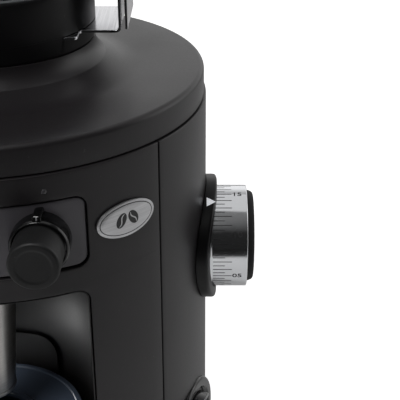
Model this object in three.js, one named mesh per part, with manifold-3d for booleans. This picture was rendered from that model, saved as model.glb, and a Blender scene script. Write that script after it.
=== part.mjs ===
// A burr coffee grinder with a round upright body, a lift-off bean hopper with a slide gate, a grind dial
// on its right side, a selector knob on its front and a grounds container in a recess below its spout.
// Millimetres. +Z is up, the front faces -Y and the grind dial faces +X. z = 0 is the table.
import * as THREE from "three";
import { mergeVertices } from "three/addons/utils/BufferGeometryUtils.js";
import Module from "manifold-3d";

const wasm = await Module();
wasm.setup();

// ---------- Driving dimensions ----------
const GAP = 0.3; // between neighbouring pieces
const SEGMENTS = 60; // around the body
const MEDIUM = 32; // around rings, drums and burrs
const SMALL = 16; // around shafts, screws and feet
const MERGE = 1e-3;
const OUTSIDE = 150; // from the axis, beyond every piece

const BODY_R = 82;
const WALL = 3;
const BODY_IN = BODY_R - WALL;
const BASE_TOP = 20;
const GROOVE_Z = 248; // dark groove between the body and its top cover
const GROOVE_HALF = 0.5;
const SEAM_DEG = 52.8; // the front cover reaches this far round from the front, each way

const FOOT_R = 9;
const FOOT_H = 5;
const BASE_R = 84;
const NOSE_R = 52; // round front of the base
const NOSE_Y = -62;

const RECESS_HALF = 40.5;
const RECESS_Y = -64; // centre of the recess's round back wall
const RECESS_TOP = GROOVE_Z - 47;
const RECESS_WALL = 2.5;
const CEILING = 2.1;

const SPOUT_Y = -61.5;
const SPOUT_TOP_R = 13.9;
const SPOUT_END_R = 9.8;
const SPOUT_END = GROOVE_Z - 95;
const SPOUT_WALL = 1.2;

const CUP_R = 34;
const CUP_Y = -62.5;
const CUP_TOP = GROOVE_Z - 112;

const PANEL_HALF = 41.2;
const PANEL_TOP = GROOVE_Z - 9.7;
const PANEL_LOW = GROOVE_Z - 36.9;
const PANEL_CORNER = 3.6;
const PANEL_GAP = 0.7;
const PANEL_FACE = 81.3;
const POCKET_FLOOR = 80;

const KNOB_X = 27.1;
const KNOB_Z = GROOVE_Z - 23.4;
const KNOB_R = 8.6;
const KNOB_FACE = -95.3;
const KNOB_TRAVEL = 1.5;

const LAMP_DEG = 20.8;
const LAMP_Z = GROOVE_Z - 6;
const BADGE_DEG = 41.2;
const BADGE_Z = GROOVE_Z - 23.4;

const DIAL_Z = GROOVE_Z - 64.5;
const BEZEL_R = 25.9;
const BEZEL_OUT = 86.6;
const DRUM_R = 21.2;
const DRUM_END = 99.3;
const CAP_R = 19;
const CAP_END = 102.6;
const DIAL_SHAFT_R = 4;
const POINTER_DEG = 30.5; // forward of the top of the dial

const SWITCH_DEG = 70; // round from the front towards the right
const SWITCH_Z = GROOVE_Z - 141.2;
const SWITCH_SINK = 2.2;
const SWITCH_R = 20.1;
const ROCKER_R = 14.2;

const COVER_R = 81.2;
const COVER_TOP = GROOVE_Z + 11.1;
const LIP_R = 39.6;
const LIP_Z = GROOVE_Z + 22.4;
const NECK_R = 30.2;

const RING_TOP = GROOVE_Z + 28;
const GATE_T = 1;
const COLLAR_R = 40;
const COLLAR_TOP = GROOVE_Z + 45;
const THROAT_R = 24;
const GATE_HALF = 24.8;
const TAB_HALF = 15.9;
const TAB_X = 50.1;
const TAB_TOP = GROOVE_Z + 51;

const BOWL_R = 64;
const BOWL_TOP = GROOVE_Z + 168;
const LID_TOP = GROOVE_Z + 181;

const BURR_R = 27;
const BURR_T = 5.7;
const BURR_GAP = 0.7;
const UPPER_BURR_TOP = GROOVE_Z - 11.6;
const LOWER_BURR_TOP = UPPER_BURR_TOP - BURR_T - BURR_GAP;
const CHAMBER_R = 40;
const CHAMBER_IN = 33;
const CHAMBER_FLOOR = GROOVE_Z - 32;
const CHAMBER_LOW = GROOVE_Z - 35;
const SHAFT_R = 5;

const MODULE = 2.25;
const GEAR_TEETH = 28;
const PINION_TEETH = 12;
const GEAR_LOW = GROOVE_Z - 43.5;
const GEAR_T = 6;
const MOTOR_Y = (MODULE * (GEAR_TEETH + PINION_TEETH)) / 2;
const MOTOR_R = 31.5;
const PLATE_TOP = GROOVE_Z - 46.5;
const PLATE_LOW = GROOVE_Z - 50;

const CUP_BEARING_R = 9;
const WEDGE_ANGLE = 10;
const WEDGE_Z = GROOVE_Z - 69.5; // top of the wedge below the burr shaft
const GLAND_Z = 40;
const GLAND_END = 92;

const radians = THREE.MathUtils.degToRad;

// ---------- Solids ----------
// A closed manifold of a three.js geometry, with its shared vertices merged.
function toSolid(geometry) {
  const loose = geometry.index ? geometry.toNonIndexed() : geometry;
  const bare = new THREE.BufferGeometry().setAttribute("position", loose.getAttribute("position"));
  const merged = mergeVertices(bare, MERGE);
  const index = merged.index.array;
  const kept = [];
  for (let i = 0; i < index.length; i += 3) {
    const [a, b, c] = [index[i], index[i + 1], index[i + 2]];
    if (a !== b && b !== c && c !== a) kept.push(a, b, c);
  }
  return new wasm.Manifold(
    new wasm.Mesh({
      numProp: 3,
      vertProperties: merged.attributes.position.array,
      triVerts: new Uint32Array(kept),
    }),
  );
}

function toGeometry(solid) {
  const mesh = solid.getMesh();
  return new THREE.BufferGeometry()
    .setAttribute("position", new THREE.BufferAttribute(mesh.vertProperties, 3))
    .setIndex(new THREE.BufferAttribute(mesh.triVerts, 1));
}

function join(first, ...others) {
  return toGeometry(others.reduce((whole, g) => whole.add(toSolid(g)), toSolid(first)));
}

function cut(first, ...others) {
  return toGeometry(others.reduce((whole, g) => whole.subtract(toSolid(g)), toSolid(first)));
}

function common(first, ...others) {
  return toGeometry(others.reduce((whole, g) => whole.intersect(toSolid(g)), toSolid(first)));
}

function box(x0, x1, y0, y1, z0, z1) {
  const g = new THREE.BoxGeometry(x1 - x0, y1 - y0, z1 - z0);
  return g.translate((x0 + x1) / 2, (y0 + y1) / 2, (z0 + z1) / 2);
}

// A round bar along Z from z0 to z1, which may taper from r0 to r1.
function rod(r0, z0, z1, segments = SMALL, r1 = r0) {
  const g = new THREE.CylinderGeometry(r1, r0, z1 - z0, segments);
  return g.rotateX(Math.PI / 2).translate(0, 0, (z0 + z1) / 2);
}

function ring(outer, inner, z0, z1, segments = MEDIUM) {
  return cut(rod(outer, z0, z1, segments), rod(inner, z0 - 1, z1 + 1, segments));
}

// A closed profile of [radius, z] points, upwards on its outside, turned about Z.
function lathe(profile, segments = MEDIUM) {
  const points = profile.map(([r, z]) => new THREE.Vector2(r, z));
  return new THREE.LatheGeometry(points, segments).rotateX(Math.PI / 2);
}

// The same for a ring: its profile closes on its first point.
function latheRing(profile, segments = MEDIUM) {
  return lathe([...profile, profile[0]], segments);
}

function prism(shape, z0, z1, curveSegments = MEDIUM / 2) {
  const g = new THREE.ExtrudeGeometry(shape, { depth: z1 - z0, bevelEnabled: false, curveSegments });
  return g.translate(0, 0, z0);
}

// A shape drawn in X and Z, extruded along Y from y0 to y1.
function frontPrism(shape, y0, y1, curveSegments = 4) {
  return prism(shape, -y1, -y0, curveSegments).rotateX(Math.PI / 2);
}

function roundedRect(x0, x1, y0, y1, r) {
  const shape = new THREE.Shape();
  shape.absarc(x1 - r, y0 + r, r, -Math.PI / 2, 0, false);
  shape.absarc(x1 - r, y1 - r, r, 0, Math.PI / 2, false);
  shape.absarc(x0 + r, y1 - r, r, Math.PI / 2, Math.PI, false);
  shape.absarc(x0 + r, y0 + r, r, Math.PI, Math.PI * 1.5, false);
  return shape;
}

const towardX = (g) => g.rotateY(Math.PI / 2); // turns +Z to +X
const towardFront = (g) => g.rotateX(Math.PI / 2); // turns +Z to -Y

// Moves a piece drawn about Z so that it points out of the body, at an angle round from the front.
function radial(g, degrees, z) {
  return g.rotateX(Math.PI / 2).rotateZ(radians(degrees)).translate(0, 0, z);
}

function bodyShell(outer, inner, z0, z1) {
  return ring(outer, inner, z0, z1, SEGMENTS);
}

// ---------- Outlines ----------
// The base: a round plate with a smaller round nose in front, joined by their common tangents.
function baseOutline(inset) {
  const [large, small] = [BASE_R - inset, NOSE_R - inset];
  const tilt = Math.asin((large - small) / -NOSE_Y);
  const shape = new THREE.Shape();
  shape.absarc(0, 0, large, -tilt, Math.PI + tilt, false);
  shape.absarc(0, NOSE_Y, small, Math.PI + tilt, 2 * Math.PI - tilt, false);
  return shape;
}

// The recess in plan: straight sides that run out at the front, and a half-round back.
function recessOutline(half, front) {
  const shape = new THREE.Shape();
  shape.moveTo(half, front);
  shape.lineTo(half, RECESS_Y);
  shape.absarc(0, RECESS_Y, half, 0, Math.PI, false);
  shape.lineTo(-half, front);
  return shape;
}

// A slice of a circle, to both sides of the front.
function sectorOutline(radius, halfDegrees) {
  const first = -Math.PI / 2 - radians(halfDegrees);
  const shape = new THREE.Shape();
  shape.moveTo(0, 0);
  shape.lineTo(radius * Math.cos(first), radius * Math.sin(first));
  shape.absarc(0, 0, radius, first, first + 2 * radians(halfDegrees), false);
  return shape;
}

// A gear about Z with straight-flanked teeth; turned is the angle of a tooth's middle from +X.
function gear(teeth, turned, z0, z1) {
  const pitch = (MODULE * teeth) / 2;
  const step = (2 * Math.PI) / teeth;
  const corners = [
    [pitch - 1.25 * MODULE, 0.3],
    [pitch + 0.85 * MODULE, 0.12],
  ];
  const flank = [
    ...corners.map(([r, half]) => [r, -half]),
    ...corners.toReversed(),
  ];
  const shape = new THREE.Shape();
  for (let tooth = 0; tooth < teeth; tooth++) {
    for (const [r, offset] of flank) {
      const angle = radians(turned) + (tooth + offset) * step;
      const point = [r * Math.cos(angle), r * Math.sin(angle)];
      if (tooth === 0 && offset === flank[0][1]) shape.moveTo(...point);
      else shape.lineTo(...point);
    }
  }
  return prism(shape, z0, z1, 1);
}

// ---------- Finishes ----------
const finish = (color, roughness, metalness = 0, extra = {}) =>
  new THREE.MeshStandardMaterial({ color, roughness, metalness, ...extra });
const FINISHES = {
  satinBlack: () => finish(0x2a282a, 0.45, 0.2),
  matteBlack: () => finish(0x1a1a1b, 0.7),
  glossBlack: () => finish(0x0b0b0c, 0.15),
  panelGrey: () => finish(0x3c3c3f, 0.4),
  chrome: () => finish(0xc8c9cc, 0.1, 1),
  brushed: () => finish(0x8c8c8a, 0.35, 1),
  steel: () => finish(0x9a9a9c, 0.3, 1),
  casting: () => finish(0x77787a, 0.55, 1),
  brass: () => finish(0xb08d4a, 0.35, 1),
  rubber: () => finish(0x161616, 0.85),
  white: () => finish(0xf0f0f0, 0.5),
  board: () => finish(0x1d5a34, 0.6),
  clear: () => finish(0xf4f6f7, 0.08, 0, { transparent: true, opacity: 0.3 }),
  smoke: () => finish(0x1b222c, 0.12, 0, { transparent: true, opacity: 0.75 }),
};

const grinder = new THREE.Group();
// The frame's origin is below the middle of the whole grinder.
grinder.position.set((BASE_R - CAP_END) / 2, (NOSE_R - NOSE_Y - GLAND_END) / 2, 0);

function add(name, finishName, geometry, parent = grinder) {
  const flat = geometry.index ? geometry.toNonIndexed() : geometry;
  flat.computeVertexNormals();
  const mesh = new THREE.Mesh(flat, FINISHES[finishName]());
  mesh.name = name;
  parent.add(mesh);
  return mesh;
}

// ---------- Base, feet and drip tray ----------
const TRAY_FLOOR = 17;
const CUP_SEAT = 20; // top of the tray, level with the base
const SPILL_DEPTH = 1.2;
const CAVITY_TOP = 13.5;

function baseCasting() {
  return cut(
    prism(baseOutline(0), FOOT_H, BASE_TOP),
    prism(baseOutline(4), FOOT_H - 1, CAVITY_TOP),
    prism(recessOutline(RECESS_HALF - 1, -OUTSIDE), TRAY_FLOOR, BASE_TOP + 1),
  );
}

function bottomPlate() {
  const slots = [];
  for (let i = -3; i <= 3; i++) {
    slots.push(box(i * 9 - 1.5, i * 9 + 1.5, 5, 45, FOOT_H - 1, FOOT_H + 4));
  }
  return cut(prism(baseOutline(4 + GAP), FOOT_H, FOOT_H + 2), ...slots);
}

// The tray fills the nose of the base, and a spill groove runs round it.
function dripTray() {
  const plate = (inset, low, high) =>
    common(
      prism(recessOutline(RECESS_HALF - 1 - GAP - inset, -OUTSIDE), low, high),
      prism(baseOutline(inset), 0, 40),
    );
  const groove = cut(
    plate(2.5, CUP_SEAT - SPILL_DEPTH, CUP_SEAT + 1),
    plate(5.5, CUP_SEAT - 2, CUP_SEAT + 2),
  );
  return cut(plate(0, TRAY_FLOOR + GAP, CUP_SEAT), groove);
}

add("base_casting", "satinBlack", baseCasting());
add("bottom_plate", "matteBlack", bottomPlate());
add("drip_tray", "satinBlack", dripTray());
for (const [name, x, y] of [
  ["foot_front_left", -30, -84],
  ["foot_front_right", 30, -84],
  ["foot_rear_left", -50, 48],
  ["foot_rear_right", 50, 48],
]) {
  const foot = add(name, "rubber", rod(FOOT_R - 1, 0, FOOT_H - GAP, SMALL, FOOT_R));
  foot.position.set(x, y, 0);
}

// ---------- Body shells ----------
const SHELL_LOW = BASE_TOP + GAP;
const SHELL_TOP = GROOVE_Z - GROOVE_HALF;
const SEAM_GAP_DEG = 0.22;

function recessSpace(half, low, top, corner) {
  const opening = roundedRect(-half, half, low - 20, top, corner);
  return common(
    prism(recessOutline(half, -OUTSIDE), low, top),
    frontPrism(opening, -OUTSIDE, 0),
  );
}

function frontCover() {
  const shell = common(
    bodyShell(BODY_R, BODY_IN, SHELL_LOW, SHELL_TOP),
    prism(sectorOutline(OUTSIDE, SEAM_DEG - SEAM_GAP_DEG), 0, 400, 4),
  );
  const liner = common(
    prism(recessOutline(RECESS_HALF + RECESS_WALL, -OUTSIDE), SHELL_LOW, RECESS_TOP + CEILING),
    rod(BODY_R - 1, SHELL_LOW, SHELL_TOP, SEGMENTS),
  );
  const pocket = common(
    ring(BODY_R + 10, POCKET_FLOOR, PANEL_LOW - 1, PANEL_TOP + 1, SEGMENTS),
    frontPrism(
      roundedRect(
        -PANEL_HALF - PANEL_GAP,
        PANEL_HALF + PANEL_GAP,
        PANEL_LOW,
        PANEL_TOP,
        PANEL_CORNER + PANEL_GAP,
      ),
      -OUTSIDE,
      -50,
    ),
  );
  return cut(
    join(shell, liner),
    recessSpace(RECESS_HALF, SHELL_LOW - 1, RECESS_TOP, 4),
    rod(SPOUT_TOP_R + 0.8, RECESS_TOP - 5, RECESS_TOP + 5, MEDIUM).translate(0, SPOUT_Y, 0),
    pocket,
    towardFront(rod(4.5, 60, 100)).translate(KNOB_X, 0, KNOB_Z),
    radial(rod(1.6, 70, 90, 12), LAMP_DEG, LAMP_Z),
  );
}

function rearHousing() {
  return cut(
    bodyShell(BODY_R, BODY_IN, SHELL_LOW, SHELL_TOP),
    prism(sectorOutline(OUTSIDE, SEAM_DEG + SEAM_GAP_DEG), 0, 400, 4),
    towardX(rod(8, 60, 100)).translate(0, 0, DIAL_Z),
    radial(rod(16.2, 60, 100, MEDIUM), SWITCH_DEG, SWITCH_Z),
    radial(rod(7.3, 60, 100), 180, GLAND_Z),
  );
}

// The cover rises to a thin lip below the hopper in a concave flare.
function topCover() {
  const flare = [];
  const steps = 4;
  const [outer, rise] = [56.5, LIP_Z - COVER_TOP];
  for (let i = 0; i <= steps; i++) {
    const angle = (i / steps) * (Math.PI / 2);
    flare.push([outer - (outer - LIP_R) * Math.sin(angle), COVER_TOP + rise * (1 - Math.cos(angle))]);
  }
  const edge = 1.8;
  return latheRing(
    [
      [COVER_R, GROOVE_Z + 0.6],
      [COVER_R, COVER_TOP - edge],
      [COVER_R - edge, COVER_TOP],
      ...flare,
      [NECK_R + GAP + 0.3, LIP_Z],
      [NECK_R + GAP + 0.3, GROOVE_Z - 1],
      [NECK_R + 3, GROOVE_Z - 1],
      [NECK_R + 3, LIP_Z - WALL],
      [LIP_R, LIP_Z - WALL - 2],
      [outer, COVER_TOP - WALL],
      [76.4, COVER_TOP - WALL],
      [76.4, GROOVE_Z - 4],
      [78.6, GROOVE_Z - 4],
      [78.6, GROOVE_Z + 0.6],
    ],
    SEGMENTS,
  );
}

function holderMountPanel() {
  const outline = roundedRect(-21, 21, 40, GROOVE_Z - 96.5, 9.5);
  const wall = ring(RECESS_HALF - GAP, RECESS_HALF - 1.4, 30, RECESS_TOP, 64);
  return common(wall.translate(0, RECESS_Y, 0), frontPrism(outline, RECESS_Y, 0));
}

function cableGland() {
  const body = latheRing([
    [3.6, 74],
    [7, 74],
    [7, BODY_R + GAP],
    [10, BODY_R + GAP],
    [10, 86],
    [7.5, 87],
    [6, GLAND_END],
    [3.6, GLAND_END],
  ], SMALL);
  return radial(body, 180, GLAND_Z);
}

add("front_cover", "satinBlack", frontCover());
add("rear_housing", "satinBlack", rearHousing());
add("top_cover", "satinBlack", topCover());
add("holder_mount_panel", "satinBlack", holderMountPanel());
add("cable_gland", "matteBlack", cableGland());

// ---------- Control panel, knob, lamp and badge ----------
function controlPanel() {
  const [low, high] = [PANEL_LOW + PANEL_GAP, PANEL_TOP - PANEL_GAP];
  const outline = roundedRect(-PANEL_HALF, PANEL_HALF, low, high, PANEL_CORNER);
  return cut(
    common(
      ring(PANEL_FACE, POCKET_FLOOR + GAP, PANEL_LOW, PANEL_TOP, SEGMENTS),
      frontPrism(outline, -OUTSIDE, -50),
    ),
    towardFront(rod(4.5, 60, 100)).translate(KNOB_X, 0, KNOB_Z),
  );
}

// The ring round the knob's foot has a small index tab on top, and its back follows the panel.
function knobRing() {
  const bare = ring(9.8, 9, 66, 83.5);
  const tab = box(-1.6, 1.6, 8.9, 11.6, 66, 83.5);
  const outside = towardFront(join(bare, tab)).translate(KNOB_X, 0, KNOB_Z);
  return cut(outside, rod(PANEL_FACE + GAP, KNOB_Z - 20, KNOB_Z + 20, SEGMENTS));
}

function selectorKnob() {
  const face = -KNOB_FACE;
  const back = 79.9 + KNOB_TRAVEL; // the panel behind the knob's inner edge, and the room to press it
  const knob = lathe([
    [0, 69.5],
    [3, 69.5],
    [3, back],
    [KNOB_R, back],
    [KNOB_R - 0.04, face - 1.4],
    [KNOB_R - 0.5, face - 0.4],
    [KNOB_R - 1.5, face],
    [0, face],
  ]);
  return towardFront(knob).translate(KNOB_X, 0, KNOB_Z);
}

function encoderBody() {
  const body = box(-6.5, 6.5, -6, 6, 64, 70.6);
  return towardFront(cut(body, rod(3.4, 65, 80))).translate(KNOB_X, 0, KNOB_Z);
}

function badgePlate() {
  const oval = new THREE.Shape().absellipse(0, 0, 12.2, 6.6, 0, 2 * Math.PI);
  return common(
    radial(prism(oval, 70, 90, 16), BADGE_DEG, BADGE_Z),
    bodyShell(BODY_R + 1.1, BODY_R + GAP, BADGE_Z - 10, BADGE_Z + 10),
  );
}

add("control_panel", "panelGrey", controlPanel());
add("knob_ring", "glossBlack", knobRing());
add("selector_knob", "matteBlack", selectorKnob());
add("knob_encoder", "steel", encoderBody());
const plunger = add("knob_plunger", "brass", rod(2.8, 67.2, 69.2));
plunger.rotation.x = Math.PI / 2;
plunger.position.set(KNOB_X, 0, KNOB_Z);
add("indicator_light", "white", radial(rod(1.2, 78, BODY_R + 0.3, 12, 1), LAMP_DEG, LAMP_Z));
add("badge_plate", "brushed", badgePlate());
add("control_board", "board", box(17.6, 44.5, -63.7, -62.1, GROOVE_Z - 38, GROOVE_Z - 8));

// ---------- Frame inside the body ----------
function drivePlate() {
  return cut(
    rod(BODY_IN - 1.5, PLATE_LOW, PLATE_TOP, SEGMENTS),
    prism(recessOutline(RECESS_HALF + RECESS_WALL + 1, -OUTSIDE), PLATE_LOW - 1, PLATE_TOP + 1),
    box(-BODY_R, BODY_R, -BODY_R, RECESS_Y + 4, PLATE_LOW - 1, PLATE_TOP + 1),
    rod(SHAFT_R + 2, PLATE_LOW - 1, PLATE_TOP + 1),
    rod(7, PLATE_LOW - 1, PLATE_TOP + 1).translate(0, MOTOR_Y, 0),
  );
}

add("drive_plate", "casting", drivePlate());
for (const [name, x, y] of [
  ["post_front_left", -50, -35],
  ["post_front_right", 50, -35],
  ["post_rear_left", -58, 30],
  ["post_rear_right", 58, 30],
]) {
  const post = add(name, "steel", rod(4, BASE_TOP + GAP, PLATE_LOW - GAP, 16));
  post.position.set(x, y, 0);
}
add("power_board", "board", box(-28, 28, 8, 9.6, 30, 90));

// ---------- Motor and gears ----------
const MOTOR_LOW = PLATE_LOW - 100;

function motorCan() {
  return cut(
    rod(MOTOR_R, MOTOR_LOW, PLATE_LOW - GAP, MEDIUM),
    rod(3 + GAP, MOTOR_LOW + 4, PLATE_LOW + 1),
    rod(MOTOR_R - 4, MOTOR_LOW + 8, MOTOR_LOW + 60, MEDIUM),
    box(-6, 6, -MOTOR_R - 1, 0, MOTOR_LOW + 20, MOTOR_LOW + 32),
  ).translate(0, MOTOR_Y, 0);
}

function motorShaft() {
  return join(
    rod(3, MOTOR_LOW + 4.6, GEAR_LOW + GEAR_T + 1.4),
    rod(MOTOR_R - 8, MOTOR_LOW + 12, MOTOR_LOW + 56, SMALL),
  ).translate(0, MOTOR_Y, 0);
}

function motorPinion() {
  const teeth = gear(PINION_TEETH, -90 + 180 / PINION_TEETH, GEAR_LOW - 1.5, GEAR_LOW + GEAR_T + 1.5);
  return cut(teeth, rod(3 + GAP, GEAR_LOW - 5, GEAR_LOW + GEAR_T + 5)).translate(0, MOTOR_Y, 0);
}

function driveGear() {
  const wheel = gear(GEAR_TEETH, 90, GEAR_LOW, GEAR_LOW + GEAR_T);
  const dish = ring(22, 9, GEAR_LOW + GEAR_T - 2, GEAR_LOW + GEAR_T + 1);
  return cut(wheel, dish, rod(SHAFT_R + GAP, GEAR_LOW - 5, GEAR_LOW + GEAR_T + 5));
}

add("motor_can", "steel", motorCan());
add("motor_shaft", "steel", motorShaft());
add("motor_pinion", "brass", motorPinion());
add("drive_gear", "casting", driveGear());

// ---------- Burrs and grinding chamber ----------
// A flat ring burr whose teeth are the lands between straight grooves; face is 1 for teeth on top.
function burr(z0, z1, face) {
  const grooves = [];
  const count = 12;
  const toothed = face > 0 ? z1 : z0;
  for (let i = 0; i < count; i++) {
    const groove = box(15, BURR_R - 3, -1.1, 1.1, -1.4, 1.4);
    grooves.push(groove.rotateZ(radians((i * 360) / count)).translate(0, 0, toothed));
  }
  return cut(ring(BURR_R, 17, z0, z1), ...grooves);
}

function upperBurrCarrier() {
  const top = GROOVE_Z - 1.3;
  return latheRing([
    [20, UPPER_BURR_TOP + GAP],
    [BURR_R + 2, UPPER_BURR_TOP + GAP],
    [BURR_R + 2, GROOVE_Z - 5.7],
    [CHAMBER_R, GROOVE_Z - 5.7],
    [CHAMBER_R, top],
    [24, top],
  ]);
}

function lowerBurrCarrier() {
  const top = LOWER_BURR_TOP - BURR_T - GAP;
  const disc = lathe([
    [0, top - 4],
    [BURR_R + 1, top - 4],
    [BURR_R + 1, top],
    [16.5, top],
    [16.5, top + 4],
    [8, top + 7],
    [0, top + 7],
  ]);
  const vanes = [0, 1].map((i) =>
    box(BURR_R - 1, CHAMBER_IN - 1, -1.5, 1.5, top - 4, top).rotateZ(i * Math.PI),
  );
  return cut(join(disc, ...vanes), rod(SHAFT_R + GAP, top - 5, top + 3));
}

const CHUTE_HALF = 9;
const CHUTE_TOP = GROOVE_Z - 21;

function grindingChamber() {
  const legs = [[36, 8], [-36, 8], [34.5, -13], [-34.5, -13]].map(([x, y]) =>
    rod(3, PLATE_TOP + GAP, CHAMBER_LOW + 1, 16).translate(x, y, 0),
  );
  return cut(
    join(rod(CHAMBER_R, CHAMBER_LOW, GROOVE_Z - 6, MEDIUM), ...legs),
    rod(CHAMBER_IN, CHAMBER_FLOOR, GROOVE_Z, MEDIUM),
    rod(9, CHAMBER_LOW - 1, CHAMBER_FLOOR + 1),
    box(-CHUTE_HALF, CHUTE_HALF, -CHAMBER_R - 2, -25, CHAMBER_FLOOR, CHUTE_TOP),
  );
}

function outletChute() {
  const [low, high] = [CHAMBER_FLOOR - 2, CHUTE_TOP + 2];
  const outside = join(
    box(-CHUTE_HALF - 2, CHUTE_HALF + 2, SPOUT_Y, -CHAMBER_R - GAP, low, high),
    rod(16.4, GROOVE_Z - 43, high, MEDIUM).translate(0, SPOUT_Y, 0),
  );
  return cut(
    outside,
    box(-CHUTE_HALF, CHUTE_HALF, SPOUT_Y, -30, CHAMBER_FLOOR, CHUTE_TOP),
    rod(12.4, GROOVE_Z - 50, CHUTE_TOP, MEDIUM).translate(0, SPOUT_Y, 0),
  );
}

function spoutTube() {
  const shoulder = RECESS_TOP + CEILING + GAP;
  const inTop = SPOUT_TOP_R - SPOUT_WALL;
  return latheRing([
    [SPOUT_END_R - SPOUT_WALL, SPOUT_END],
    [SPOUT_END_R, SPOUT_END],
    [SPOUT_TOP_R, RECESS_TOP],
    [SPOUT_TOP_R, shoulder],
    [17, shoulder],
    [17, shoulder + 1.3],
    [inTop, shoulder + 1.3],
    [inTop, RECESS_TOP],
  ]).translate(0, SPOUT_Y, 0);
}

add("grinding_chamber", "casting", grindingChamber());
add("shaft_bearing", "steel", ring(8.7, SHAFT_R + GAP, CHAMBER_LOW + GAP, CHAMBER_FLOOR, SMALL));
add("burr_shaft", "steel", rod(SHAFT_R, GROOVE_Z - 64.7, LOWER_BURR_TOP - BURR_T + 2));
add("lower_burr_carrier", "casting", lowerBurrCarrier());
add("lower_burr", "steel", burr(LOWER_BURR_TOP - BURR_T, LOWER_BURR_TOP, 1));
add("upper_burr", "steel", burr(UPPER_BURR_TOP - BURR_T, UPPER_BURR_TOP, -1));
add("upper_burr_carrier", "casting", upperBurrCarrier());
add("outlet_chute", "matteBlack", outletChute());
add("spout_tube", "brushed", spoutTube());

// ---------- Grind adjustment ----------
// The dial's screw draws a wedge along X, and the wedge raises or lowers the cup under the burr shaft.
const SLOPE = Math.tan(radians(WEDGE_ANGLE));
const WEDGE_HALF = 7.5;
const WEDGE_FLOOR = GROOVE_Z - 79;

function thrustCup() {
  const nose = WEDGE_Z + 2 * SLOPE + GAP;
  const cup = lathe([
    [0, nose],
    [2, nose],
    [CUP_BEARING_R, nose + 2.5],
    [CUP_BEARING_R, GROOVE_Z - 55],
    [0, GROOVE_Z - 55],
  ], SMALL);
  return cut(cup, rod(SHAFT_R + GAP, GROOVE_Z - 65, GROOVE_Z));
}

function adjusterWedge() {
  const [back, front] = [-14, 18];
  const side = new THREE.Shape();
  side.moveTo(back, WEDGE_FLOOR);
  side.lineTo(32, WEDGE_FLOOR);
  side.lineTo(32, DIAL_Z + 7);
  side.lineTo(front, DIAL_Z + 7);
  side.lineTo(front, WEDGE_Z + front * SLOPE);
  side.lineTo(back, WEDGE_Z + back * SLOPE);
  const bore = towardX(rod(DIAL_SHAFT_R + GAP, 10, 40)).translate(0, 0, DIAL_Z);
  return cut(frontPrism(side, -WEDGE_HALF, WEDGE_HALF), bore);
}

function adjusterFrame() {
  return cut(
    box(-20, 38, -WEDGE_HALF - 3, WEDGE_HALF + 3, WEDGE_FLOOR - 4, PLATE_LOW - GAP),
    box(-30, 50, -WEDGE_HALF - GAP, WEDGE_HALF + GAP, WEDGE_FLOOR - GAP, PLATE_LOW + 1),
    rod(CUP_BEARING_R + 3 + GAP, GROOVE_Z - 68, PLATE_LOW + 1, MEDIUM),
  );
}

function liftGuide() {
  return ring(CUP_BEARING_R + 2.8, CUP_BEARING_R + GAP, GROOVE_Z - 62.6, PLATE_LOW - GAP, MEDIUM);
}

function dialBezel() {
  const disc = towardX(ring(BEZEL_R, DRUM_R + 0.5, 60, 100)).translate(0, 0, DIAL_Z);
  const shell = bodyShell(BEZEL_OUT, BODY_R + GAP, DIAL_Z - 30, DIAL_Z + 30);
  return common(disc, shell);
}

function dialDrum() {
  const drum = latheRing([
    [18, BODY_R + 0.7],
    [DRUM_R, BODY_R + 0.7],
    [DRUM_R, DRUM_END - 0.4],
    [DRUM_R - 0.4, DRUM_END],
    [DIAL_SHAFT_R + GAP, DRUM_END],
    [DIAL_SHAFT_R + GAP, 84],
    [9, 84],
    [9, 93],
    [18, 93],
  ], MEDIUM);
  return towardX(drum).translate(0, 0, DIAL_Z);
}

function dialCap() {
  const cap = lathe([
    [0, DRUM_END + GAP],
    [CAP_R, DRUM_END + GAP],
    [CAP_R, CAP_END - 1],
    [CAP_R - 1, CAP_END - 0.2],
    [CAP_R - 3, CAP_END],
    [0, CAP_END],
  ]);
  return towardX(cap).translate(0, 0, DIAL_Z);
}

// A small triangle on the bezel's rim that points along the dial.
function dialPointer() {
  const triangle = new THREE.Shape();
  triangle.moveTo(-1.7, 81.8);
  triangle.lineTo(1.7, 81.8);
  triangle.lineTo(0, 85.4);
  const plate = prism(triangle, BEZEL_R + GAP, BEZEL_R + GAP + 0.4, 1);
  return plate
    .rotateZ(-Math.PI / 2)
    .rotateX(radians(POINTER_DEG))
    .translate(0, 0, DIAL_Z);
}

add("thrust_cup", "steel", thrustCup());
add("lift_guide", "brass", liftGuide());
add("adjuster_wedge", "steel", adjusterWedge());
add("adjuster_frame", "casting", adjusterFrame());
add("dial_bezel", "satinBlack", dialBezel());
add("dial_drum", "chrome", dialDrum());
add("dial_cap", "rubber", dialCap());
const dialShaft = add("dial_shaft", "steel", rod(DIAL_SHAFT_R, 20, DRUM_END - 1));
dialShaft.rotation.y = Math.PI / 2;
dialShaft.position.z = DIAL_Z;
add("dial_pointer", "white", dialPointer());

// ---------- Power switch ----------
// Sets a piece of the switch, drawn for a body without its seat, into the body's side.
function atSwitch(g) {
  return radial(g.translate(0, 0, -SWITCH_SINK), SWITCH_DEG, SWITCH_Z);
}

function switchBezel() {
  const rim = lathe([
    [0, 70],
    [SWITCH_R, 70],
    [SWITCH_R, 84],
    [SWITCH_R - 1.2, 85.2],
    [0, 85.2],
  ]);
  const flange = cut(
    atSwitch(rim),
    rod(BODY_R + GAP, SWITCH_Z - 30, SWITCH_Z + 30, SEGMENTS),
  );
  const neck = atSwitch(rod(15.8, 77, 85, MEDIUM));
  return cut(join(flange, neck), atSwitch(rod(ROCKER_R + 0.8, 60, 100, MEDIUM)));
}

// The rocker's face is a shallow V, and it rests tipped with its upper half out.
const ROCKER_TIP = 8;
const ROCKER_AXIS = 80;

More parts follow.
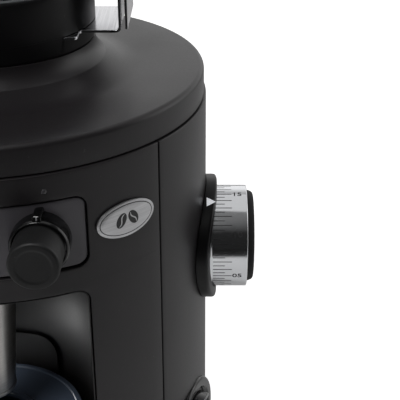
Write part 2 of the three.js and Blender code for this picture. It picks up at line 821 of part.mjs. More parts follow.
function switchRocker() {
  const side = new THREE.Shape();
  side.moveTo(-20, 78);
  side.lineTo(20, 78);
  side.lineTo(20, 88);
  side.lineTo(0, 84.4);
  side.lineTo(-20, 88);
  const disc = common(rod(ROCKER_R, 78, 88, MEDIUM), frontPrism(side, -30, 30));
  const tipped = disc
    .translate(0, 0, -ROCKER_AXIS)
    .rotateX(radians(ROCKER_TIP))
    .translate(0, 0, ROCKER_AXIS);
  return atSwitch(tipped);
}

add("switch_bezel", "glossBlack", switchBezel());
add("switch_rocker", "glossBlack", switchRocker());
add("switch_body", "matteBlack", atSwitch(box(-11, 11, -13, 13, 55, 75)));

// ---------- Grounds container ----------
function groundsContainer() {
  const [low, wall] = [CUP_SEAT + GAP, 2];
  return lathe([
    [0, low],
    [CUP_R - 5, low],
    [CUP_R - 3, low + 2],
    [CUP_R - 1, CUP_TOP],
    [CUP_R - 1 - wall, CUP_TOP],
    [CUP_R - 3 - wall, low + 4],
    [0, low + 3],
  ]).translate(0, CUP_Y, 0);
}

function containerLid() {
  return latheRing([
    [15, CUP_TOP + GAP],
    [CUP_R - 1, CUP_TOP + GAP],
    [CUP_R - 0.6, CUP_TOP - 5],
    [CUP_R + 0.8, CUP_TOP - 5],
    [CUP_R + 0.8, CUP_TOP + 1],
    [CUP_R - 0.6, CUP_TOP + 2.3],
    [15, CUP_TOP + 2.3],
  ]).translate(0, CUP_Y, 0);
}

add("grounds_container", "smoke", groundsContainer());
add("container_lid", "smoke", containerLid());

// ---------- Hopper ----------
// The ring has a shallow channel across its top, in which the gate slides.
function hopperRing() {
  const body = latheRing([
    [26, GROOVE_Z + 2],
    [NECK_R, GROOVE_Z + 2],
    [NECK_R, LIP_Z + 0.4],
    [LIP_R - 0.3, LIP_Z + 0.4],
    [COLLAR_R + 0.4, RING_TOP + 1.5],
    [THROAT_R, RING_TOP + 1.5],
    [THROAT_R, LIP_Z],
    [26, LIP_Z - 4],
  ]);
  const channel = gateOutline(GATE_HALF + 0.5, GATE_HALF + 0.5, 60);
  return cut(body, prism(channel, RING_TOP, RING_TOP + 5));
}

// The gate in plan: round at its inner end, wide across the throat, and narrower at its tab.
function gateOutline(half, tab, end) {
  const shape = new THREE.Shape();
  shape.absarc(0, 0, half, Math.PI / 2, Math.PI * 1.5, false);
  shape.lineTo(36, -half);
  shape.lineTo(36, -tab);
  shape.lineTo(end, -tab);
  shape.lineTo(end, tab);
  shape.lineTo(36, tab);
  shape.lineTo(36, half);
  return shape;
}

// The tab turns up at the gate's outer end and is folded over and down as a finger grip.
function slideGate() {
  const [low, fold] = [RING_TOP + GAP, 1.2];
  const plate = prism(gateOutline(GATE_HALF, TAB_HALF, TAB_X), low, low + GATE_T);
  const bend = [];
  for (let i = 0; i <= 6; i++) {
    const angle = Math.PI - (i / 6) * Math.PI;
    bend.push([TAB_X + fold + fold * Math.cos(angle), TAB_TOP - fold + fold * Math.sin(angle)]);
  }
  const grip = new THREE.Shape();
  grip.moveTo(TAB_X - 1, low);
  grip.lineTo(TAB_X + GATE_T, low);
  grip.lineTo(TAB_X + GATE_T, TAB_TOP - 2.4);
  grip.lineTo(TAB_X + 2 * fold - 0.1, TAB_TOP - 2.4);
  grip.lineTo(TAB_X + 2 * fold - 0.1, low + GATE_T);
  grip.lineTo(TAB_X + 2 * fold + GATE_T, low + GATE_T);
  grip.lineTo(TAB_X + 2 * fold + GATE_T, TAB_TOP - fold);
  for (const [x, z] of bend.toReversed()) {
    grip.lineTo(x > TAB_X + fold ? x + GATE_T / 2 : x, z);
  }
  grip.lineTo(TAB_X, low + 2);
  grip.lineTo(TAB_X - 1, low + 1);
  return join(plate, frontPrism(grip, -TAB_HALF, TAB_HALF, 1));
}

function hopperCollar() {
  const low = RING_TOP + 1.5 + GAP;
  return latheRing([
    [THROAT_R, low],
    [COLLAR_R, low],
    [COLLAR_R, COLLAR_TOP - 1],
    [COLLAR_R - 1, COLLAR_TOP],
    [COLLAR_R - 4, COLLAR_TOP],
    [COLLAR_R - 4, COLLAR_TOP - 8],
    [THROAT_R, low + 3],
  ]);
}

function hopperBowl() {
  const [low, wall, foot] = [COLLAR_TOP - 7.5, 2.2, COLLAR_R - 4.4];
  return latheRing([
    [foot - wall, low],
    [foot, low],
    [foot, COLLAR_TOP + GAP],
    [COLLAR_R - 1, COLLAR_TOP + 2],
    [BOWL_R - 3, BOWL_TOP - 60],
    [BOWL_R, BOWL_TOP - 45],
    [BOWL_R, BOWL_TOP],
    [BOWL_R - wall, BOWL_TOP],
    [BOWL_R - wall, BOWL_TOP - 45],
    [BOWL_R - 3 - wall, BOWL_TOP - 60],
    [COLLAR_R - 2 - wall, COLLAR_TOP + 3],
    [foot - wall, COLLAR_TOP],
  ]);
}

function hopperLid() {
  return lathe([
    [0, BOWL_TOP + GAP],
    [BOWL_R + 1, BOWL_TOP + GAP],
    [BOWL_R + 1, BOWL_TOP + 4],
    [BOWL_R - 1, BOWL_TOP + 6],
    [16, BOWL_TOP + 7],
    [14, LID_TOP - 1],
    [13, LID_TOP],
    [0, LID_TOP],
  ]);
}

// A soft ring below the lid, which fits inside the bowl's rim.
function lidSeal() {
  return ring(BOWL_R - 3, BOWL_R - 6.5, BOWL_TOP - 5, BOWL_TOP);
}

add("hopper_ring", "matteBlack", hopperRing());
add("slide_gate", "chrome", slideGate());
add("hopper_collar", "matteBlack", hopperCollar());
add("hopper_bowl", "clear", hopperBowl());
add("hopper_lid", "matteBlack", hopperLid());
add("hopper_lid_seal", "rubber", lidSeal());

export default grinder;
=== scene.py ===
"""Looks of a burr coffee grinder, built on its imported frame: surfaces, finishes, light and camera."""
import logging
import math
from collections.abc import Callable
from dataclasses import dataclass
from enum import Enum

import bmesh
import bpy
import numpy as np
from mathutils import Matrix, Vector


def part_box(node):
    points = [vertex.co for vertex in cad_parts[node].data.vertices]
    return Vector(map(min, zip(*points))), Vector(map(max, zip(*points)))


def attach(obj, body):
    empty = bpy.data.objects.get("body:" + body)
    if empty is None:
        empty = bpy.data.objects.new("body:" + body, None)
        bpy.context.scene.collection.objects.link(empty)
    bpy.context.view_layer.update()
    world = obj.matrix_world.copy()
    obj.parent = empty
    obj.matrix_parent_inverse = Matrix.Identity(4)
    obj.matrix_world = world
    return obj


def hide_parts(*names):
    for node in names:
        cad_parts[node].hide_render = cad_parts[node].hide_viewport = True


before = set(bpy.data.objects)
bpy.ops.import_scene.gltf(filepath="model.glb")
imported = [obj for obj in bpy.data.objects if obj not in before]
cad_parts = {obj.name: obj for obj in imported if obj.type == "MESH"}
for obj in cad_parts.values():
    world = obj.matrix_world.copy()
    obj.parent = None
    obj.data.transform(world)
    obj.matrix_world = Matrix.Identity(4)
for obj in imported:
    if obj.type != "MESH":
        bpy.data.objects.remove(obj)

Points = np.ndarray
Move = Callable[[Points], Points]
Outline = Callable[[float], Points]
Tree = bpy.types.NodeTree
Socket = bpy.types.NodeSocket
Piece = bpy.types.Object
MM = 0.001
RECESS_Y = -64.0  # middle of the half round back of the recess
DOUBLE = 2e-6  # metres: points closer than this are one
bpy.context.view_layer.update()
LOG = logging.getLogger("grinder")


# ---------- Datums ----------
@dataclass(frozen=True)
class Datum:
    """Where the body's upright axis and its main heights lie, in millimetres in the part's own frame.

    Own millimetres have the body's axis at x = y = 0 and the table at z = 0.
    """

    axis_x: float
    axis_y: float
    groove: float
    body_r: float = 82.0

    @classmethod
    def from_frame(cls) -> "Datum":
        """Reads the axis from the top cover's box and the groove from the rear housing's top."""
        low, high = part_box("top_cover")
        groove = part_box("rear_housing")[1].z / MM + 0.5
        return cls((low.x + high.x) / 2, (low.y + high.y) / 2, round(groove, 3))

    def place(self, points: Points) -> Points:
        """Turns own millimetres into frame metres.

        Args:
            points: array of (..., 3) own millimetres.

        Returns:
            The same points in metres, moved to the body's axis.
        """
        return points * MM + np.array([self.axis_x, self.axis_y, 0.0])


D = Datum.from_frame()
G = D.groove


# ---------- Curves ----------
def rounded_profile(corners: list[tuple[float, float, float]], steps: int = 6, closed: bool = False) -> Points:
    """A polyline whose corners are rounded: each corner is a circular arc tangent to both its legs.

    Args:
        corners: (u, v, radius) of each corner.
        steps: points on each arc.
        closed: whether the last corner joins the first.

    Returns:
        An (n, 2) array.
    """
    pts = np.array([c[:2] for c in corners], float)
    out: list[Points] = []
    count = len(corners)
    for i, (_, _, radius) in enumerate(corners):
        here = pts[i]
        if radius <= 0 or (not closed and i in (0, count - 1)):
            out.append(here[None])
            continue
        back, ahead = pts[i - 1] - here, pts[(i + 1) % count] - here
        lb, la = np.linalg.norm(back), np.linalg.norm(ahead)
        back, ahead = back / lb, ahead / la
        half = np.arccos(np.clip(back @ ahead, -1, 1)) / 2
        if half > math.pi / 2 - 1e-3:
            out.append(here[None])
            continue
        leg = min(radius / math.tan(half), 0.49 * lb, 0.49 * la)
        radius = leg * math.tan(half)
        middle = here + (back + ahead) / np.linalg.norm(back + ahead) * radius / math.sin(half)
        start, end = here + back * leg - middle, here + ahead * leg - middle
        a0 = math.atan2(start[1], start[0])
        turn = (math.atan2(end[1], end[0]) - a0 + math.pi) % (2 * math.pi) - math.pi
        angles = a0 + turn * np.linspace(0, 1, steps)
        out.append(middle + radius * np.stack([np.cos(angles), np.sin(angles)], 1))
    return np.concatenate(out)


def rounded_rect(half_u: float, half_v: float, radius: float, square: bool = False, side: int = 14,
                 arc: int = 6) -> Points:
    """A closed rounded rectangle about the origin, the same number of points whatever its size.

    Args:
        half_u: half its width.
        half_v: half its height.
        radius: its corner radius, or the leg of its square corner.
        square: True pushes each arc out onto the square corner.
        side: points on each straight side.
        arc: steps on each corner.

    Returns:
        A (4 * (side + arc), 2) array, anticlockwise from the middle right's lower end.
    """
    out = []
    for quarter, (su, sv) in enumerate([(1, 1), (-1, 1), (-1, -1), (1, -1)]):
        centre = np.array([su * (half_u - radius), sv * (half_v - radius)])
        t = quarter * math.pi / 2 + np.linspace(0, math.pi / 2, arc + 1)
        ray = np.stack([np.cos(t), np.sin(t)], 1)
        if square:
            ray /= np.abs(ray).max(1, keepdims=True)
        out.append(centre + radius * ray)
    loops = []
    for i in range(4):
        start, end = out[i][-1], out[(i + 1) % 4][0]
        f = np.linspace(0, 1, side + 1)[1:-1, None]
        loops += [out[i], start + (end - start) * f]
    return np.concatenate(loops)


def at_height(flat: Points, z: float) -> Points:
    """Gives the (n, 2) points of an outline a height."""
    return np.concatenate([flat, np.full((len(flat), 1), z)], 1)


def wrap(flat: Points, radius: float) -> Points:
    """Wraps (arc length, z) points on an upright cylinder whose front is -Y: (R sin a, -R cos a, z), a = s / R0.

    Args:
        flat: (..., 2) points; s is measured on the body's own radius.
        radius: radius of the cylinder.

    Returns:
        (..., 3) points.
    """
    a = flat[..., 0] / D.body_r
    return np.stack([radius * np.sin(a), -radius * np.cos(a), flat[..., 1]], -1)


def across(flat: Points, radius: float) -> Points:
    """Projects (x, z) points on the front of an upright cylinder: y = -sqrt(R^2 - x^2)."""
    x = np.clip(flat[..., 0], -radius, radius)
    return np.stack([x, -np.sqrt(radius**2 - x**2), flat[..., 1]], -1)


def roll(first: Points, corner: Points, last: Points, steps: int = 5) -> Points:
    """Rows of a rolled edge: a quadratic curve from first to last that leaves towards corner."""
    t = np.linspace(0, 1, steps)[:, None, None]
    return (1 - t) ** 2 * first + 2 * t * (1 - t) * corner + t**2 * last


def blend_rows(first: Points, last: Points, rows: int) -> Points:
    """Rows of straight steps from one outline to another."""
    t = np.linspace(0, 1, rows)[:, None, None]
    return first + (last - first) * t


def turn_z(points: Points, angle: float) -> Points:
    """Turns points about Z.

    Args:
        points: (..., 3) points.
        angle: radians, anticlockwise from above.

    Returns:
        The turned points.
    """
    c, s = math.cos(angle), math.sin(angle)
    x, y = points[..., 0], points[..., 1]
    return np.stack([c * x - s * y, s * x + c * y, points[..., 2]], -1)


def out_of_body(points: Points, degrees: float, z: float) -> Points:
    """Moves a piece drawn about Z so that its Z points out of the body.

    Args:
        points: (..., 3) points about Z.
        degrees: how far round from the front it points.
        z: its height on the body.

    Returns:
        The moved points.
    """
    x, y, w = points[..., 0], points[..., 1], points[..., 2]
    lying = np.stack([x, -w, y], -1)
    return turn_z(lying, math.radians(degrees)) + np.array([0, 0, z])


def to_right(points: Points, z: float) -> Points:
    """Moves a piece drawn about Z so that its Z points along +X and its Y stays."""
    x, y, w = points[..., 0], points[..., 1], points[..., 2]
    return np.stack([w, y, z - x], -1)


def to_front(points: Points, x0: float, z0: float) -> Points:
    """Moves a piece drawn about Z so that its Z points to the front, at (x0, z0)."""
    x, y, w = points[..., 0], points[..., 1], points[..., 2]
    return np.stack([x0 + x, -w, z0 + y], -1)


# ---------- Meshes ----------
class Shell:
    """Gathers grids of points into one mesh object of the grinder."""

    def __init__(self, name: str) -> None:
        """Starts an empty shell.

        Args:
            name: the piece's name.
        """
        self.name = name
        self.points: list[Points] = []
        self.faces: list[list[int]] = []
        self.count = 0

    def grid(self, rows: Points, closed_u: bool = False, closed_v: bool = False, flip: bool = False) -> "Shell":
        """Adds a sheet of quads between neighbouring rows and columns.

        Args:
            rows: (rows, columns, 3) own millimetres.
            closed_u: the last column joins the first.
            closed_v: the last row joins the first.
            flip: turns the faces round.

        Returns:
            This shell.
        """
        r, c = rows.shape[:2]
        i = np.arange(r if closed_v else r - 1)[:, None]
        j = np.arange(c if closed_u else c - 1)[None]
        i1, j1 = (i + 1) % r, (j + 1) % c
        quads = np.stack([i * c + j, i * c + j1, i1 * c + j1, i1 * c + j], -1).reshape(-1, 4) + self.count
        if flip:
            quads = quads[:, ::-1]
        self.faces += quads.tolist()
        self.points.append(rows.reshape(-1, 3))
        self.count += r * c
        return self

    def cap(self, loop: Points, flip: bool = False) -> "Shell":
        """Closes a loop with one flat face.

        Args:
            loop: (n, 3) own millimetres.
            flip: turns the face round.

        Returns:
            This shell.
        """
        index = np.arange(len(loop)) + self.count
        self.faces.append((index[::-1] if flip else index).tolist())
        self.points.append(loop)
        self.count += len(loop)
        return self

    def build(self, sharp: float = 32.0, outward: bool = True) -> Piece:
        """Makes the mesh object, its doubles merged, its faces outward and its edges smooth below an angle.

        Args:
            sharp: edges that turn more than this many degrees stay crisp.
            outward: works out which way the faces point.

        Returns:
            The new object, at the origin.
        """
        mesh = bpy.data.meshes.new(self.name)
        mesh.from_pydata(D.place(np.concatenate(self.points)).tolist(), [], self.faces)
        work = bmesh.new()
        work.from_mesh(mesh)
        bmesh.ops.remove_doubles(work, verts=work.verts, dist=DOUBLE)
        bmesh.ops.dissolve_degenerate(work, edges=work.edges, dist=DOUBLE)
        if outward:
            bmesh.ops.recalc_face_normals(work, faces=work.faces)
        work.to_mesh(mesh)
        work.free()
        mesh.shade_smooth()
        mesh.set_sharp_from_angle(angle=math.radians(sharp))
        piece = bpy.data.objects.new(self.name, mesh)
        bpy.context.scene.collection.objects.link(piece)
        return piece


def lathe(profile: Points, segments: int) -> Points:
    """A surface of revolution about Z: each (radius, z) of the profile carried once round.

    Args:
        profile: (n, 2) radius and height.
        segments: columns round the axis.

    Returns:
        (n, segments, 3) points.
    """
    a = 2 * math.pi * np.linspace(0, 1, segments, endpoint=False)
    r, z = profile[:, :1], profile[:, 1:]
    return np.stack([r * np.cos(a), r * np.sin(a), z + 0 * a], -1)


def round_piece(name: str, profile: list[tuple[float, float, float]], move: Move | None = None, segments: int = 160,
                closed: bool = False, steps: int = 6) -> Piece:
    """A turned piece: a rounded profile of (radius, z, corner radius) revolved, then moved into place.

    Args:
        name: the piece's name.
        profile: its corners, from its foot outwards and up.
        move: function that places points drawn about Z, or None.
        segments: columns round its axis.
        closed: True for a ring, whose profile closes on itself.
        steps: points on each corner's arc.

    Returns:
        The new object.
    """
    rows = lathe(rounded_profile(profile, steps, closed), segments)
    if move is not None:
        rows = move(rows)
    return Shell(name).grid(rows, closed_u=True, closed_v=closed).build()


# ---------- Shader groups ----------
class Kind(Enum):
    """The shared effects that the finishes draw on."""

    POWDER = "powder_grain"
    BRUSH = "brushed_streaks"
    WEAR = "handling_marks"


def _socket(group: Tree, name: str, kind: str, out: bool = False, value: float | tuple | None = None) -> None:
    """Adds a socket to a node group.

    Args:
        group: the node group.
        name: the socket's name.
        kind: its type.
        out: True for an output.
        value: its starting value, or None.
    """
    made = group.interface.new_socket(name=name, in_out="OUTPUT" if out else "INPUT", socket_type=kind)
    if value is not None:
        made.default_value = value


def _feed(tree: Tree, socket: Socket, source: Socket | float | Points | tuple) -> None:
    """Links an input to its source, or sets it to a number or colour.

    Args:
        tree: the node tree.
        socket: the input.
        source: a socket, a number or a colour.
    """
    if isinstance(source, Socket):
        tree.links.new(source, socket)
    else:
        socket.default_value = source


def _math(tree: Tree, operation: str, *operands: Socket | float) -> Socket:
    """Places a Math node.

    Args:
        tree: the node tree.
        operation: its name, such as MULTIPLY.
        operands: sockets or numbers, in the node's order.

    Returns:
        Its result.
    """
    node = tree.nodes.new("ShaderNodeMath")
    node.operation = operation
    for socket, operand in zip(node.inputs, operands):
        _feed(tree, socket, operand)
    return node.outputs[0]


def _noise(tree: Tree, vector: Socket, scale: Socket | float, detail: float) -> Socket:
    """Places a Noise node.

    Args:
        tree: the node tree.
        vector: its coordinates.
        scale: its scale, per metre.
        detail: its octaves.

    Returns:
        Its value.
    """
    node = tree.nodes.new("ShaderNodeTexNoise")
    for name, source in (("Vector", vector), ("Scale", scale), ("Detail", detail)):
        _feed(tree, node.inputs[name], source)
    return node.outputs["Fac"]


def _mix(tree: Tree, factor: Socket | float, a: Socket | tuple, b: Socket | tuple, blend: str = "MIX") -> Socket:
    """Places a colour Mix node.

    Args:
        tree: the node tree.
        factor: how much of b.
        a: the first colour.
        b: the second colour.
        blend: the way they mix.

    Returns:
        The mixed colour.
    """
    node = tree.nodes.new("ShaderNodeMix")
    node.data_type, node.blend_type = "RGBA", blend
    for name, source in (("Factor", factor), ("A", a), ("B", b)):
        _feed(tree, node.inputs[name], source)
    return node.outputs["Result"]


def _span(tree: Tree, value: Socket, low: float, high: float, to_low: float = 0.0, to_high: float = 1.0) -> Socket:
    """Maps a value from one span to another, clamped.

    Args:
        tree: the node tree.
        value: what is mapped.
        low: the start of its span.
        high: the end of its span.
        to_low: what the start becomes.
        to_high: what the end becomes.

    Returns:
        The mapped value.
    """
    node = tree.nodes.new("ShaderNodeMapRange")
    numbers = {"Value": value, "From Min": low, "From Max": high, "To Min": to_low, "To Max": to_high}
    for name, source in numbers.items():
        _feed(tree, node.inputs[name], source)
    return node.outputs["Result"]


def powder_grain() -> Tree:
    """Node group: fine powder-coat grain, its height the sum of two noises, with a slow tone drift."""
    group = bpy.data.node_groups.new(Kind.POWDER.value, "ShaderNodeTree")
    _socket(group, "Vector", "NodeSocketVector")
    _socket(group, "Grain Size", "NodeSocketFloat", value=2600.0)
    _socket(group, "Height", "NodeSocketFloat", out=True)
    _socket(group, "Speckle", "NodeSocketFloat", out=True)
    _socket(group, "Drift", "NodeSocketFloat", out=True)
    src, sink = group.nodes.new("NodeGroupInput"), group.nodes.new("NodeGroupOutput")
    fine = _noise(group, src.outputs["Vector"], src.outputs["Grain Size"], 2.0)
    coarse = _noise(group, src.outputs["Vector"], _math(group, "MULTIPLY", src.outputs["Grain Size"], 0.38), 1.0)
    height = _math(group, "MULTIPLY_ADD", coarse, 0.6, _math(group, "MULTIPLY", fine, 0.4))
    group.links.new(height, sink.inputs["Height"])
    group.links.new(_span(group, fine, 0.35, 0.65), sink.inputs["Speckle"])
    slow = _noise(group, src.outputs["Vector"], 22.0, 2.0)
    group.links.new(_span(group, slow, 0.3, 0.7), sink.inputs["Drift"])
    return group


def brushed_streaks() -> Tree:
    """Node group: fine parallel scratches, a noise stretched along one axis by the scale it is given."""
    group = bpy.data.node_groups.new(Kind.BRUSH.value, "ShaderNodeTree")
    _socket(group, "Vector", "NodeSocketVector")
    _socket(group, "Density", "NodeSocketVector", value=(60.0, 60.0, 4200.0))
    _socket(group, "Streak", "NodeSocketFloat", out=True)
    src, sink = group.nodes.new("NodeGroupInput"), group.nodes.new("NodeGroupOutput")
    scaled = group.nodes.new("ShaderNodeVectorMath")
    scaled.operation = "MULTIPLY"
    group.links.new(src.outputs["Vector"], scaled.inputs[0])
    group.links.new(src.outputs["Density"], scaled.inputs[1])
    streak = _noise(group, scaled.outputs["Vector"], 1.0, 3.0)
    group.links.new(_span(group, streak, 0.3, 0.7), sink.inputs["Streak"])
    return group


def handling_marks() -> Tree:
    """Node group: faint smudges and hairline scuffs left by hands, sparse and soft."""
    group = bpy.data.node_groups.new(Kind.WEAR.value, "ShaderNodeTree")
    _socket(group, "Vector", "NodeSocketVector")
    _socket(group, "Smudge", "NodeSocketFloat", out=True)
    _socket(group, "Dust", "NodeSocketFloat", out=True)
    src, sink = group.nodes.new("NodeGroupInput"), group.nodes.new("NodeGroupOutput")
    blot = _noise(group, src.outputs["Vector"], 38.0, 4.0)
    group.links.new(_span(group, blot, 0.5, 0.75), sink.inputs["Smudge"])
    speck = _noise(group, src.outputs["Vector"], 900.0, 1.0)
    group.links.new(_span(group, speck, 0.72, 0.8), sink.inputs["Dust"])
    return group


GROUPS = {Kind.POWDER: powder_grain(), Kind.BRUSH: brushed_streaks(), Kind.WEAR: handling_marks()}


# ---------- Finishes ----------
Colour = tuple[float, float, float]
DUST = (0.35, 0.34, 0.33, 1)
POWDER_DEPTH = 0.00004  # metres
BRUSH_DEPTH = 0.00002  # metres


@dataclass(frozen=True)
class Finish:
    """A painted, moulded or metal finish: a base tone with drift, grain, smudges and its own gloss, and, where glow is
    set, a painted glow.

    Tones are linear red, green and blue; grain and streak are noise scales per metre.
    """

    name: str
    tone: Colour
    second: Colour
    rough: float = 0.45
    rough_spread: float = 0.06
    grain: float = 2600.0
    bump: float = 0.0
    metallic: float = 0.0
    streak: Colour | None = None
    streak_bump: float = 0.0
    specular: float = 0.5
    ior: float = 1.5
    coat: float = 0.0
    coat_rough: float = 0.1
    transmission: float = 0.0
    dust: float = 0.04
    # glow is emission strength: a painted glow that makes a surface brighter than the lamps light it.
    glow: float = 0.0

    def make(self) -> bpy.types.Material:
        """Builds the material's nodes.

        Returns:
            The material.
        """
        material = bpy.data.materials.new(self.name)
        material.use_nodes = True
        tree = material.node_tree
        shader = tree.nodes["Principled BSDF"]
        where = tree.nodes.new("ShaderNodeTexCoord").outputs["Object"]
        grain = self._group(tree, Kind.POWDER, where)
        grain.inputs["Grain Size"].default_value = self.grain
        marks = self._group(tree, Kind.WEAR, where)
        drift, rough_by = grain.outputs["Drift"], grain.outputs["Speckle"]
        height = grain.outputs["Height"]
        strength, depth = self.bump, POWDER_DEPTH
        if self.streak is not None:
            brush = self._group(tree, Kind.BRUSH, where)
            brush.inputs["Density"].default_value = self.streak
            drift = rough_by = height = brush.outputs["Streak"]
            strength, depth = self.streak_bump, BRUSH_DEPTH
        colour = _mix(tree, drift, (*self.tone, 1), (*self.second, 1))
        dusty = _mix(tree, _math(tree, "MULTIPLY", marks.outputs["Dust"], self.dust), colour, DUST)
        tree.links.new(dusty, shader.inputs["Base Color"])
        spread = _math(tree, "MULTIPLY", rough_by, self.rough_spread)
        smudge = _math(tree, "MULTIPLY", marks.outputs["Smudge"], self.rough_spread * 0.6)
        rough = _math(tree, "ADD", _math(tree, "ADD", spread, smudge), self.rough - self.rough_spread / 2)
        tree.links.new(rough, shader.inputs["Roughness"])
        if strength > 0:
            bump = tree.nodes.new("ShaderNodeBump")
            for name, source in (("Strength", strength), ("Distance", depth), ("Height", height)):
                _feed(tree, bump.inputs[name], source)
            tree.links.new(bump.outputs["Normal"], shader.inputs["Normal"])
        plain = {
            "Metallic": self.metallic, "Specular IOR Level": self.specular, "IOR": self.ior, "Coat Weight": self.coat,
            "Coat Roughness": self.coat_rough, "Transmission Weight": self.transmission,
            "Emission Color": (*self.tone, 1), "Emission Strength": self.glow,
        }
        for name, value in plain.items():
            shader.inputs[name].default_value = value
        return material

    @staticmethod
    def _group(tree: Tree, kind: Kind, where: Socket) -> bpy.types.Node:
        """Places a shared group.

        Args:
            tree: the material's node tree.
            kind: which group.
            where: the coordinates it is fed.

        Returns:
            Its node.
        """
        node = tree.nodes.new("ShaderNodeGroup")
        node.node_tree = GROUPS[kind]
        tree.links.new(where, node.inputs["Vector"])
        return node


class Look(Enum):
    """Every finish on the grinder."""

    SATIN = Finish("satin_black_paint", (0.0128, 0.0113, 0.0124), (0.0165, 0.0146, 0.0160), 0.37, 0.06, 3000.0, 0.6,
                   specular=0.38)
    LINER = Finish("liner_black", (0.0085, 0.0080, 0.0082), (0.0115, 0.0108, 0.0110), 0.44, 0.06, 2400.0, 0.5)
    MATTE = Finish("matte_black_plastic", (0.0060, 0.0060, 0.0063), (0.0090, 0.0090, 0.0094), 0.52, 0.08, 3800.0, 0.5,
                   specular=0.4)
    RING = Finish("hopper_ring_black", (0.0040, 0.0039, 0.0044), (0.0060, 0.0058, 0.0064), 0.36, 0.06, 2600.0, 0.3,
                  specular=0.25)
    GLOSS = Finish("gloss_black_plastic", (0.0030, 0.0030, 0.0033), (0.0045, 0.0045, 0.0049), 0.16, 0.05, 1800.0, 0.05)
    # PANEL's tone is lifted above the panel's own glossy black to stand in for the light grey it reflects on its right:
    # its own dark tone plus a painted reflection.
    PANEL = Finish("panel_grey", (0.062, 0.058, 0.066), (0.072, 0.068, 0.076), 0.36, 0.05, 2600.0, 0.15)
    CHROME = Finish("chrome", (0.78, 0.79, 0.81), (0.70, 0.71, 0.73), 0.13, 0.06, 1500.0, 0.0, 1.0)
    GATE = Finish("polished_steel", (0.62, 0.62, 0.64), (0.52, 0.52, 0.54), 0.15, 0.07, metallic=1.0,
                  streak=(1800.0, 30.0, 40.0), streak_bump=0.08)
    BRUSHED = Finish("brushed_steel", (0.56, 0.55, 0.53), (0.40, 0.39, 0.38), 0.34, 0.12, metallic=1.0,
                     streak=(120.0, 120.0, 6000.0), streak_bump=0.25)
    PLATE = Finish("badge_steel", (0.60, 0.60, 0.61), (0.46, 0.46, 0.47), 0.36, 0.12, metallic=1.0,
                   streak=(90.0, 90.0, 5200.0), streak_bump=0.2)
    MACHINED = Finish("machined_steel", (0.52, 0.52, 0.53), (0.42, 0.42, 0.44), 0.30, 0.12, metallic=1.0,
                      streak=(300.0, 300.0, 2400.0), streak_bump=0.2)
    ALLOY = Finish("cast_alloy", (0.36, 0.36, 0.37), (0.26, 0.26, 0.27), 0.55, 0.15, 1400.0, 0.9, 1.0)
    BRASS = Finish("brass", (0.60, 0.42, 0.16), (0.50, 0.34, 0.12), 0.32, 0.12, metallic=1.0,
                   streak=(300.0, 300.0, 1800.0), streak_bump=0.2)
    RUBBER = Finish("black_rubber", (0.0075, 0.0075, 0.0078), (0.0125, 0.0125, 0.0130), 0.72, 0.12, 1900.0, 0.8,
                    specular=0.3, dust=0.12)
    WHITE = Finish("white_ink", (0.72, 0.74, 0.78), (0.62, 0.64, 0.68), 0.45, 0.1, 3000.0, 0.2)
    # The pointer glows: painted light that makes the white triangle look brightly lit, though it is no lamp.
    POINTER = Finish("pointer_white_painted_glow", (0.88, 0.90, 0.94), (0.80, 0.82, 0.86), 0.45, 0.1, 3000.0, 0.2, glow=0.45)
    INK = Finish("black_ink", (0.012, 0.012, 0.013), (0.022, 0.022, 0.024), 0.5, 0.1, 3000.0, 0.1)
    MARK = Finish("pale_ink", (0.30, 0.30, 0.31), (0.24, 0.24, 0.25), 0.5, 0.1, 3000.0, 0.1)
    LAMP = Finish("smoked_lens", (0.045, 0.044, 0.048), (0.060, 0.058, 0.062), 0.12, 0.04, 600.0, 0.02)
    BOARD = Finish("circuit_board", (0.010, 0.085, 0.030), (0.016, 0.120, 0.045), 0.40, 0.12, 700.0, 0.5)
    CLEAR = Finish("clear_plastic", (0.93, 0.95, 0.96), (0.90, 0.93, 0.95), 0.03, 0.01, 900.0, 0.0,
                   ior=1.49, transmission=1.0, dust=0.02)
    SMOKE = Finish("smoke_plastic", (0.060, 0.078, 0.112), (0.088, 0.110, 0.152), 0.20, 0.08, 260.0, 0.05,
                   specular=0.6, coat=0.35, coat_rough=0.12)


MATERIALS: dict[Look, bpy.types.Material] = {look: look.value.make() for look in Look}


def dress(piece: Piece, *looks: Look) -> Piece:
    """Gives a piece its finishes, one material slot each.

    Args:
        piece: the object.
        looks: its finishes.

    Returns:
        The piece.
    """
    piece.data.materials.clear()
    for look in looks:
        piece.data.materials.append(MATERIALS[look])
    return piece


def fit(piece: Piece, body: str, nodes: tuple[str, ...], slot: str, *looks: Look) -> Piece:
    """Rides a new piece on its body, lets it stand for its CAD nodes and dresses it.

    Args:
        piece: the new object.
        body: the CAD body it moves with.
        nodes: the CAD nodes it stands for.
        slot: the record's material slot; not used.
        looks: its finishes.

    Returns:
        The piece.
    """
    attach(piece, body)
    if nodes:
        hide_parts(*nodes)
    if looks:
        dress(piece, *looks)
    LOG.info("%s rides on %s", piece.name, body)
    return piece


# ---------- Shared builders ----------
def plate_rows(outline: Outline, low: float, high: float, edge: float, steps: int = 4) -> Points:
    """Rows of a flat plate's side: up its wall, then over a rolled upper edge.

    Args:
        outline: function of growth that returns an (n, 2) loop.
        low: height of its foot.
        high: height of its face.
        edge: radius of the rolled edge.
        steps: rows in the roll.

    Returns:
        (rows, n, 3) points about Z.
    """
    foot = outline(0)
    rolled = roll(at_height(foot, high - edge), at_height(foot, high), at_height(outline(-edge), high), steps)
    return np.concatenate([at_height(foot, low)[None], rolled])


def plate(name: str, outline: Outline, low: float, high: float, edge: float, move: Move) -> Piece:
    """A closed flat plate with a rolled upper edge, moved into place.

    Args:
        name: the piece's name.
        outline: function of growth that returns an (n, 2) loop.
        low: height of its foot.
        high: height of its face.
        edge: radius of the rolled edge.
        move: function that places points drawn about Z.

    Returns:
        The new object.
    """
    rows = move(plate_rows(outline, low, high, edge))
    return Shell(name).grid(rows, closed_u=True).cap(rows[-1]).cap(rows[0], True).build()


